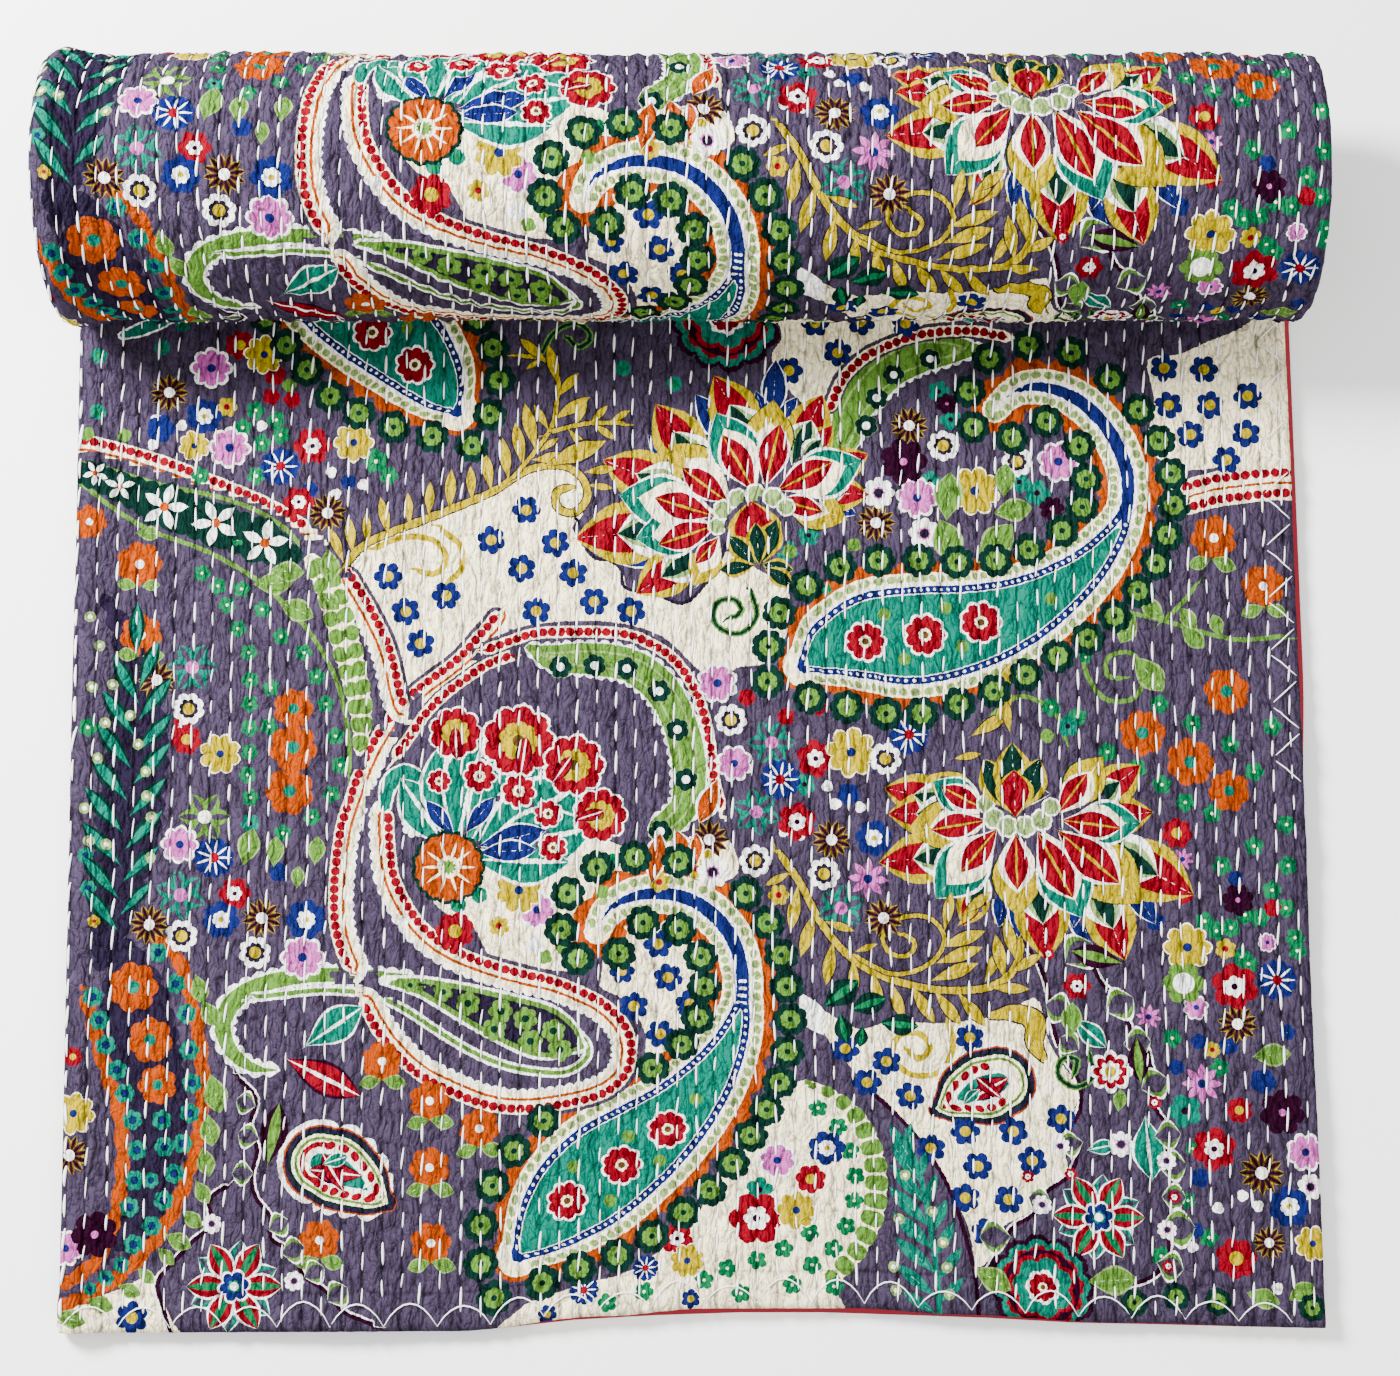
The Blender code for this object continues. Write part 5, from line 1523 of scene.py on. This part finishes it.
    def band_group(self) -> NodeTree:
        """The group that draws every style of band.

        Returns:
            The group, with the outputs cover and ink.
        """
        inputs = (("spot", "Vector"), ("style", "Float"), ("bleed", "Float"))
        tree, sockets, empty = self.group("bands", inputs)
        if not empty:
            return tree
        put = partial(add, tree)
        spot, kind, bleed = sockets
        along = put("SeparateXYZ", spot)
        _, away, plain = along.node.outputs
        uneven = put("MULTIPLY_ADD", bleed, 0.12, -0.06)
        away = put("ADD", away, uneven)
        cover = ink = None
        for number, style in enumerate(STYLES):
            here = put("COMPARE", kind, float(number), 0.3)
            top = style.inks[-1][0]
            edges = []
            for (depth, pitch), level, sign in (
                (style.scallop_high, top, -1.0),
                (style.scallop_low, style.low, 1.0),
            ):
                limit = level
                if depth:
                    wave = put("MULTIPLY", along, math.pi / pitch)
                    wave = put("SINE", wave)
                    wave = put("ABSOLUTE", wave)
                    crest, trough = sign * -depth, level + sign * depth
                    limit = put("MULTIPLY_ADD", wave, crest, trough)
                test = "LESS_THAN" if sign < 0 else "GREATER_THAN"
                edges.append(put(test, away, limit))
            inside = put("MULTIPLY", edges[0], edges[1])
            inside = put("MULTIPLY", inside, here)
            tone: Any = float(style.inks[-1][1].value)
            for limit, colour in reversed(style.inks[:-1]):
                step = put("LESS_THAN", away, limit)
                tone = put("Mix", step, None, tone, float(colour.value))
            for level, pitch, radius, stops, colour in style.dots:
                phase = put("FLOORED_MODULO", along, pitch)
                phase = put("ADD", phase, -pitch / 2)
                height = put("ADD", away, -level)
                far = put("VectorMath", put("CombineXYZ", phase, height), operation="LENGTH", out=1)
                step = put("LESS_THAN", far, radius)
                if stops:
                    dotted = put("LESS_THAN", plain, 0.0)
                    step = put("MULTIPLY", step, dotted)
                tone = put("Mix", step, None, tone, float(colour.value))
            if cover is None:
                cover, ink = inside, put("Mix", inside, None, 0.0, tone)
            else:
                cover = put("ADD", cover, inside)
                ink = put("Mix", inside, None, ink, tone)
        end = tree.nodes.new("NodeGroupOutput")
        tree.links.new(cover, end.inputs[0])
        tree.links.new(ink, end.inputs[1])
        return tree

    def motif_group(self) -> NodeTree:
        """The group that draws a flower, leaf or disc.

        Returns:
            The group, with the outputs cover and ink.
        """
        tree, sockets, empty = self.group(
            "motif",
            (
                ("local", "Vector"), ("form", "Vector"), ("rings", "Vector"),
                ("inks", "Vector"), ("bleed", "Float"),
            ),
        )
        if not empty:
            return tree
        put = partial(add, tree)
        local, form, rings, inks, bleed = sockets
        x = put("SeparateXYZ", local)
        _, y, petals = x.node.outputs
        loose = put("SeparateXYZ", form)
        _, depth, edge = loose.node.outputs
        core = put("SeparateXYZ", rings)
        _, eye, edge_ink = core.node.outputs
        petal_ink = put("SeparateXYZ", inks)
        _, core_ink, eye_ink = petal_ink.node.outputs
        radius = put("VectorMath", put("CombineXYZ", x, y), operation="LENGTH", out=1)
        angle = put("ARCTAN2", y, x)
        half_turn = put("MULTIPLY", angle, petals)
        half_turn = put("MULTIPLY", half_turn, 0.5)
        lobe = put("ABSOLUTE", put("COSINE", half_turn))
        lobe = put("POWER", lobe, 0.7)
        dip = put("MULTIPLY", put("SUBTRACT", 1.0, lobe), depth)
        disc = put("DIVIDE", radius, put("SUBTRACT", 1.0, dip))
        sector = put("DIVIDE", 2 * math.pi, petals)
        low = put("MULTIPLY", sector, -0.5)
        fold = put("WRAP", angle, low, put("MULTIPLY", sector, 0.5))
        px = put("MULTIPLY", radius, put("COSINE", fold))
        py = put("MULTIPLY", radius, put("SINE", fold))
        share = put("MAXIMUM", px, 0.0)
        share = put("MINIMUM", share, 1.0)
        share = put("POWER", share, PETAL_SWELL)
        belly = put("SINE", put("MULTIPLY", share, math.pi))
        belly = put("MAXIMUM", put("MULTIPLY", belly, depth), 0.001)
        petal = put("DIVIDE", put("ABSOLUTE", py), belly)
        out = put("Mix", loose, None, disc, petal)
        uneven = put("MULTIPLY_ADD", bleed, 0.1, -0.05)
        out = put("ADD", out, uneven)
        cover = put("LESS_THAN", out, 1.0)
        within = put("LESS_THAN", radius, 1.02)
        cover = put("MULTIPLY", cover, within)
        centre = put("LESS_THAN", radius, eye)
        cover = put("MAXIMUM", cover, centre)
        ink = petal_ink
        ink = put("Mix", put("GREATER_THAN", out, edge), None, ink, edge_ink)
        ink = put("Mix", put("LESS_THAN", out, core), None, ink, core_ink)
        ink = put("Mix", centre, None, ink, eye_ink)
        end = tree.nodes.new("NodeGroupOutput")
        tree.links.new(cover, end.inputs[0])
        tree.links.new(ink, end.inputs[1])
        return tree

    def relief_and_painted_shade(self, tree: NodeTree, cloth: Any, shader: Any) -> Any:
        """Add the fine creases that washing draws between the stitches, as bump, and their painted shade.

        Args:
            tree: the material's nodes.
            cloth: the place on the cloth, in metres.
            shader: takes the bump as its normal.

        Returns:
            The painted shade of the creases, the row furrows and the front hem's fold line, as a tone that
            darkens the base colour.
        """
        put = partial(add, tree)
        warp = put("TexNoise", cloth, None, self.warp_waves, 1.0, out=1, noise_dimensions="2D")
        warp = put("VectorMath", warp, (-0.5, -0.5, -0.5), operation="ADD")
        warp = put("VectorMath", warp, None, None, self.warp_reach, operation="SCALE")
        bent = put("VectorMath", cloth, warp, operation="ADD")
        heights, painted_shades = [], []
        for size_mm, turn, stretch, shift in self.creases:
            run = put("Mapping", bent, (shift, shift, 0.0), (0.0, 0.0, turn), (1.0, stretch, 1.0))
            fold = put("TexNoise", run, None, 1000 / size_mm, 1.5, 0.64, noise_dimensions="2D")
            fold = put("ABSOLUTE", put("ADD", fold, -0.5))
            shallow = put("MINIMUM", fold, 0.14)
            share = size_mm / self.creases[0][0]
            heights.append(put("MULTIPLY", shallow, share))
            # Painted shade: the colour is darker along the middle of each crease.
            painted_shades.append(put("MapRange", fold, 0.0, 0.034, self.crease_painted_shade, 1.0))
        height = put("ADD", heights[1], heights[2])
        height = put("ADD", heights[0], height)
        # Along each stitch row the cloth is drawn into a furrow, here and there wider, as bump and as
        # painted shade in the colour.
        row = put("Attribute", attribute_name="row", out=2)
        aside = put("WRAP", row, 0.5, -0.5)
        aside = put("ABSOLUTE", aside)
        reach = put("TexNoise", cloth, None, self.pucker_waves, 2.0, noise_dimensions="2D")
        reach = put("MapRange", reach, 0.4, 0.62, 0.0, 0.085)
        furrow = put("SUBTRACT", aside, reach)
        painted_shades.append(put("MapRange", furrow, -0.03, 0.03, self.crease_painted_shade, 1.0))
        height = put("ADD", put("MapRange", aside, 0.0, 0.12, -0.12, 0.0), height)
        # Painted shade: a darker line along the front hem's fold, where the hem steps down to the single
        # cloth.
        hem = put("ADD", put("SeparateXYZ", bent, out=1), -self.hem_depth)
        hem = put("ABSOLUTE", hem)
        painted_shades.append(put("MapRange", hem, 0.0, 0.0016, self.hem_painted_shade, 1.0))
        threads = 1000 / self.thread_pitch_mm
        weave = put("TexNoise", cloth, None, threads, 0.0, noise_dimensions="2D")
        height = put("MULTIPLY_ADD", weave, 0.03, height)
        bump = tree.nodes.new("ShaderNodeBump")
        bump.inputs["Strength"].default_value = 1.0
        bump.inputs["Distance"].default_value = self.relief_depth
        tree.links.new(height, bump.inputs["Height"])
        tree.links.new(bump.outputs[0], shader.inputs["Normal"])
        # The painted shades, multiplied into one tone for the base colour.
        dark = painted_shades.pop()
        while painted_shades:
            dark = put("MULTIPLY", dark, painted_shades.pop())
        return dark


def plain_matte(name: str, colour: str, roughness: float = 0.9) -> Material:
    """A finish in one matte colour.

    Args:
        name: the material's name.
        colour: its sRGB hex colour.
        roughness: how matte it is.

    Returns:
        The material.
    """
    material = bpy.data.materials.new(name)
    material.use_nodes = True
    shader = material.node_tree.nodes["Principled BSDF"]
    shader.inputs["Base Color"].default_value = linear(colour)
    shader.inputs["Roughness"].default_value = roughness
    return material


# ---- the stitching


@dataclass
class Needlework:
    """White cotton thread laid on the cloth: running stitches in rows, whip stitches on the hems."""

    path: ClothPath
    quilting: Quilting
    half_width: float = 0.00074
    thickness: float = 0.0009
    last_turn_deg: float = 276.0
    seed: int = 5
    # Every second row is sewn finer, with shorter stitches.
    fine_width: float = 0.72
    fine_length: float = 0.86
    missing_share: float = 0.03
    # The loops of the front hem and the slants of the right one.
    loop_pitch: float = 0.032
    loop_half_width: float = 0.0005
    slant_pitch: float = 0.0165
    slant_from: float = 0.33
    slant_to: float = 0.62
    slant_half_width: float = 0.00045

    def running(self) -> Array:
        """Lay out the running stitches.

        Returns:
            For each stitch its stations' u, v and half-width.
        """
        quilting, rng = self.quilting, np.random.default_rng(self.seed)
        end = float(self.path.along_at(np.array([self.last_turn_deg]))[0])
        stations = np.linspace(-0.5, 0.5, 5)
        laid = []
        for row in range(quilting.rows):
            bold, long = (1.0, 1.0) if row % 2 == 0 else (self.fine_width, self.fine_length)
            first = -quilting.phases[row] / (2 * np.pi) * quilting.stitch_pitch
            count = int((end - first) / quilting.stitch_pitch)
            middle = first + quilting.stitch_pitch * (np.arange(count) + rng.normal(0, 0.07, count))
            length = quilting.stitch_length * rng.uniform(0.72, 1.18, count) * long
            sewn = rng.random(count) > self.missing_share
            kept = (middle - length / 2 > 0.004) & (middle + length / 2 < end) & sewn
            middle, length = middle[kept], length[kept]
            v = middle[:, None] + length[:, None] * stations
            lean = rng.normal(0.05, 0.05, len(middle))[:, None] * length[:, None] * stations
            u = quilting.row_line(np.full(v.shape, row), v) + lean
            width = np.full(v.shape, self.half_width * bold) * rng.uniform(0.8, 1.2, len(middle))[:, None]
            laid.append(np.stack([u, v, width], axis=-1))
        return np.concatenate(laid)

    def hem_scallops(self) -> Array:
        """Lay out the looping whip stitches along the front hem."""
        rng, pitch = np.random.default_rng(self.seed + 1), self.loop_pitch
        share = np.linspace(0, 1, 9)
        laid = []
        for number in range(int(self.path.strip_width / pitch)):
            start, height = 0.006 + number * pitch, rng.uniform(0.0105, 0.015)
            u = start + pitch * share
            v = 0.003 + height * np.sin(np.pi * share) ** 0.8
            laid.append(np.stack([u, v, np.full(9, self.loop_half_width)], axis=-1))
        return np.array(laid)

    def hem_zigzag(self) -> Array:
        """Lay out the slanting whip stitches along the right hem."""
        share, laid = np.linspace(0, 1, 9), []
        right = self.path.strip_width
        for v in np.arange(self.slant_from, self.slant_to, self.slant_pitch):
            slant = 0.0065 if round(v / self.slant_pitch) % 2 else -0.0065
            u = right - 0.0165 + 0.0145 * share
            along = v + 0.008 + slant * (2 * share - 1)
            laid.append(np.stack([u, along, np.full(9, self.slant_half_width)], axis=-1))
        return np.array(laid)

    def build(self, name: str, lines: Array, material: Material, lift: float) -> Object:
        """Turn laid-out threads into meshes on the cloth.

        Args:
            name: the piece's name.
            lines: for each thread its stations' u, v and half-width.
            material: the thread.
            lift: how far a thread's middle stands off the cloth.

        Returns:
            The piece.
        """
        stations = lines.shape[1]
        template = bmesh.new()
        bmesh.ops.create_cone(template, cap_ends=True, segments=4, radius1=1, radius2=1, depth=1)
        sides = [edge for edge in template.edges if abs(edge.verts[0].co.z - edge.verts[1].co.z) > 0.5]
        bmesh.ops.subdivide_edges(template, edges=sides, cuts=stations - 2, use_grid_fill=True)
        for face in template.faces:
            face.smooth = True
        one = bpy.data.meshes.new("stitch")
        template.to_mesh(one)
        template.free()
        shape = np.array([vertex.co[:] for vertex in one.vertices])
        whole = bmesh.new()
        for _ in range(len(lines)):
            whole.from_mesh(one)
        mesh = bpy.data.meshes.new(name)
        whole.to_mesh(mesh)
        whole.free()
        bpy.data.meshes.remove(one)
        at = np.rint((shape[:, 2] + 0.5) * (stations - 1)).astype(int)
        taper = np.sqrt(np.maximum(1 - (2 * shape[:, 2]) ** 2 * 0.8, 0.05))
        along = np.gradient(lines[..., :2], axis=1)
        along /= np.linalg.norm(along, axis=-1, keepdims=True)
        u, v, half = (lines[:, at, axis] for axis in range(3))
        side = shape[:, 0] * taper * half
        u_out, v_out = u + side * along[:, at, 1], v - side * along[:, at, 0]
        quilting = self.quilting
        base = quilting.height(u, v) * ease(u / 0.010) + quilting.swell(u, v)
        w = base + (lift * taper - 0.0006 * (1 - taper)) + shape[:, 1] * taper * self.thickness / 2
        placed = self.path.place(u_out.ravel(), v_out.ravel(), w.ravel())
        mesh.vertices.foreach_set("co", placed.ravel())
        mesh.update()
        LOG.info("%s: %d threads", name, len(lines))
        return new_piece(name, mesh, [material])


# ---- the quilt


@dataclass
class Quilt:
    """The cloth itself: one sheet with a printed and a plain face."""

    path: ClothPath
    quilting: Quilting
    fine_cuts: int = 3
    row_step: float = 0.016
    shown_end_deg: float = 280.0
    hidden_step_deg: float = 20.0
    lower_columns: int = 16

    def stations_across(self) -> Array:
        """Places across the cloth for the sheet's coarse columns, lower leaf first."""
        width, arc = self.path.strip_width, np.pi * self.path.pair / 4
        pitch = self.quilting.row_pitch
        lower = -np.linspace(width, pitch, self.lower_columns)
        upper = np.append(pitch * np.arange(1, self.quilting.rows), width)
        return np.concatenate([lower, [-arc, -arc / 2, 0.0, arc / 2, arc], upper])

    def stations_along(self) -> tuple[Array, int]:
        """Places along the cloth for the sheet's coarse rows.

        Returns:
            The places, and how many of the steps between them show and are made fine.
        """
        path = self.path
        flat = np.linspace(0, path.flat_length, round(path.flat_length / self.row_step) + 1)
        bend = np.linspace(path.flat_length, path.roll_start, 3)[1:]
        shown_end = float(path.along_at(np.array([self.shown_end_deg]))[0])
        steps = round((shown_end - path.roll_start) / self.row_step)
        shown = np.linspace(path.roll_start, shown_end, steps + 1)
        step = self.hidden_step_deg
        turns = np.arange(self.shown_end_deg + step, 360 * path.most_turns, step)
        hidden = path.along_at(turns)
        hidden = np.append(hidden[hidden < path.cloth_length - 0.002], path.cloth_length)
        places = np.concatenate([flat, bend, shown[1:], hidden])
        return places, len(flat) + len(bend) + len(shown) - 2

    def build(self, printed: Material, backing: Material) -> Object:
        """Make the sheet flat, refine what shows, then drape it.

        Args:
            printed: finish of the outer face and the hems.
            backing: finish of the inner face.

        Returns:
            The quilt's cloth.
        """
        across, (along, shown_rows) = self.stations_across(), self.stations_along()
        shape = bmesh.new()
        grid = bmesh.ops.create_grid(
            shape, x_segments=len(across) - 1, y_segments=len(along) - 1, size=0.5
        )["verts"]
        for vertex in grid:
            column = round((vertex.co.x + 0.5) * (len(across) - 1))
            row = round((vertex.co.y + 0.5) * (len(along) - 1))
            vertex.co = (across[column], along[row], 0.0)
        leaf = self.path.leaf
        bmesh.ops.solidify(shape, geom=shape.faces[:], thickness=leaf)
        top = max(vertex.co.z for vertex in shape.verts)
        for vertex in shape.verts:
            vertex.co.z = 0.0 if vertex.co.z > top - leaf / 2 else -leaf
        last_shown = along[shown_rows] + 1e-6
        first_ridge = self.quilting.row_pitch - 1e-6
        fold = -1e-6 - np.pi * self.path.pair / 4
        cut = []
        for edge in shape.edges:
            a, b = (vertex.co for vertex in edge.verts)
            if min(a.z, b.z) < -1e-6 or max(a.y, b.y) > last_shown:
                continue
            is_across = abs(a.x - b.x) > 1e-6
            if min(a.x, b.x) > (first_ridge if is_across else fold):
                cut.append(edge)
        bmesh.ops.subdivide_edges(shape, edges=cut, cuts=self.fine_cuts, use_grid_fill=True)
        bmesh.ops.recalc_face_normals(shape, faces=shape.faces)
        for face in shape.faces:
            face.smooth = True
            face.material_index = 0 if max(vertex.co.z for vertex in face.verts) > -leaf / 2 else 1
        mesh = bpy.data.meshes.new("quilt_cloth")
        shape.to_mesh(mesh)
        shape.free()
        self.drape(mesh)
        LOG.info("quilt_cloth: %d faces", len(mesh.polygons))
        return new_piece("quilt_cloth", mesh, [printed, backing])

    def drape(self, mesh: Mesh) -> None:
        """Move the flat sheet's points to where the folded and rolled cloth has them."""
        flat = np.empty(len(mesh.vertices) * 3)
        mesh.vertices.foreach_get("co", flat)
        u, v, w = flat.reshape(-1, 3).T.copy()
        outer = w > -self.path.leaf / 2
        raised = w.copy()
        upper = outer & (u >= 0)
        blend = ease(u / 0.010)
        rise = self.quilting.height(u, v) * blend + self.quilting.swell(u, v)
        raised[upper] += rise[upper]
        placed = self.path.place(u, v, raised)
        mesh.vertices.foreach_set("co", placed.ravel())
        row = mesh.attributes.new("row", "FLOAT", "POINT")
        near = self.quilting.row_of(u)
        lean = self.quilting.row_line(near, v) / self.quilting.row_pitch - near
        row.data.foreach_set("value", (u / self.quilting.row_pitch - lean).astype(np.float32))
        cloth = mesh.attributes.new("cloth", "FLOAT_VECTOR", "POINT")
        cloth.data.foreach_set("vector", flat)
        mesh.update()


# ---- the studio


@dataclass
class Studio:
    """A plain pale floor, soft light and the camera at the photograph's angle."""

    path: ClothPath
    eye_back: float = 0.160
    eye_height: float = 1.668
    eye_tilt_deg: float = 7.9
    eye_aside: float = 0.0033
    lens_mm: float = 69.56
    floor_half: float = 6.0
    surround: float = 1.2
    # Each lamp: name, place, width in metres and power in watts.
    lamp_rows: tuple[tuple[str, tuple[float, float, float], float, float], ...] = (
        ("key", (-1.3, 0.9, 1.35), 0.7, 190.0),
        ("fill", (1.2, -0.9, 1.8), 1.6, 30.0),
    )

    def build(self) -> None:
        """Make the floor, the lamps and the camera."""
        self.floor()
        self.lamps()
        self.camera()

    def floor(self) -> None:
        """A wide pale floor under the quilt."""
        shape = bmesh.new()
        bmesh.ops.create_grid(shape, x_segments=1, y_segments=1, size=self.floor_half)
        mesh = bpy.data.meshes.new("floor")
        shape.to_mesh(mesh)
        shape.free()
        # Pale paper, so that the eye sees only the quilt's soft shadow.
        mesh.materials.append(plain_matte("pale_floor", "fdfdfc"))
        floor = bpy.data.objects.new("floor", mesh)
        bpy.context.scene.collection.objects.link(floor)
        floor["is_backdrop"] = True

    def lamps(self) -> None:
        """A large soft light overhead and a pale surround."""
        world = bpy.data.worlds.new("studio")
        world.use_nodes = True
        background = world.node_tree.nodes["Background"]
        background.inputs["Color"].default_value = linear("ffffff")
        background.inputs["Strength"].default_value = self.surround
        bpy.context.scene.world = world
        for name, place, size, power in self.lamp_rows:
            lamp = bpy.data.lights.new(name, "AREA")
            lamp.shape, lamp.size, lamp.energy = "DISK", size, power
            thing = bpy.data.objects.new(name, lamp)
            thing.location = place
            aim = Vector((0, 0, 0.03)) - Vector(place)
            thing.rotation_euler = aim.to_track_quat("-Z", "Y").to_euler()
            bpy.context.scene.collection.objects.link(thing)

    def camera(self) -> None:
        """The camera, looking down and a little forward."""
        lens = bpy.data.cameras.new("camera")
        lens.sensor_width, lens.lens = 36.0, self.lens_mm
        thing = bpy.data.objects.new("camera", lens)
        offset_x, offset_y = self.path.offset
        thing.location = (offset_x + self.eye_aside, offset_y + self.eye_back, self.eye_height)
        thing.rotation_euler = (math.radians(self.eye_tilt_deg), 0.0, 0.0)
        bpy.context.scene.collection.objects.link(thing)
        bpy.context.scene.camera = thing


def main() -> None:
    """Build the quilt, its stitches and the studio in order."""
    logging.basicConfig(level=logging.INFO, format="%(name)s: %(message)s")
    path = ClothPath()
    quilting = Quilting(path)
    Studio(path).build()
    printed = PrintedCotton().build()
    # A thin red line along the hems, where the inner cloth just shows.
    backing = plain_matte("crimson_cotton_backing", "8a0c20")
    quilt = Quilt(path, quilting).build(printed, backing)
    Painter(Print(), path).paint(quilt.data)
    LOG.info("print laid out")
    # Bright dashes that stand up from the print, each with a small shadow beside it.
    thread = plain_matte("white_cotton_thread", "f3f2f2", 0.8)
    work = Needlework(path, quilting)
    work.build("running_stitches", work.running(), thread, 0.0005)
    work.build("front_hem_stitches", work.hem_scallops(), thread, 0.0008)
    work.build("side_hem_stitches", work.hem_zigzag(), thread, 0.0008)
    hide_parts("quilt")


if __name__ == "__main__":
    main()
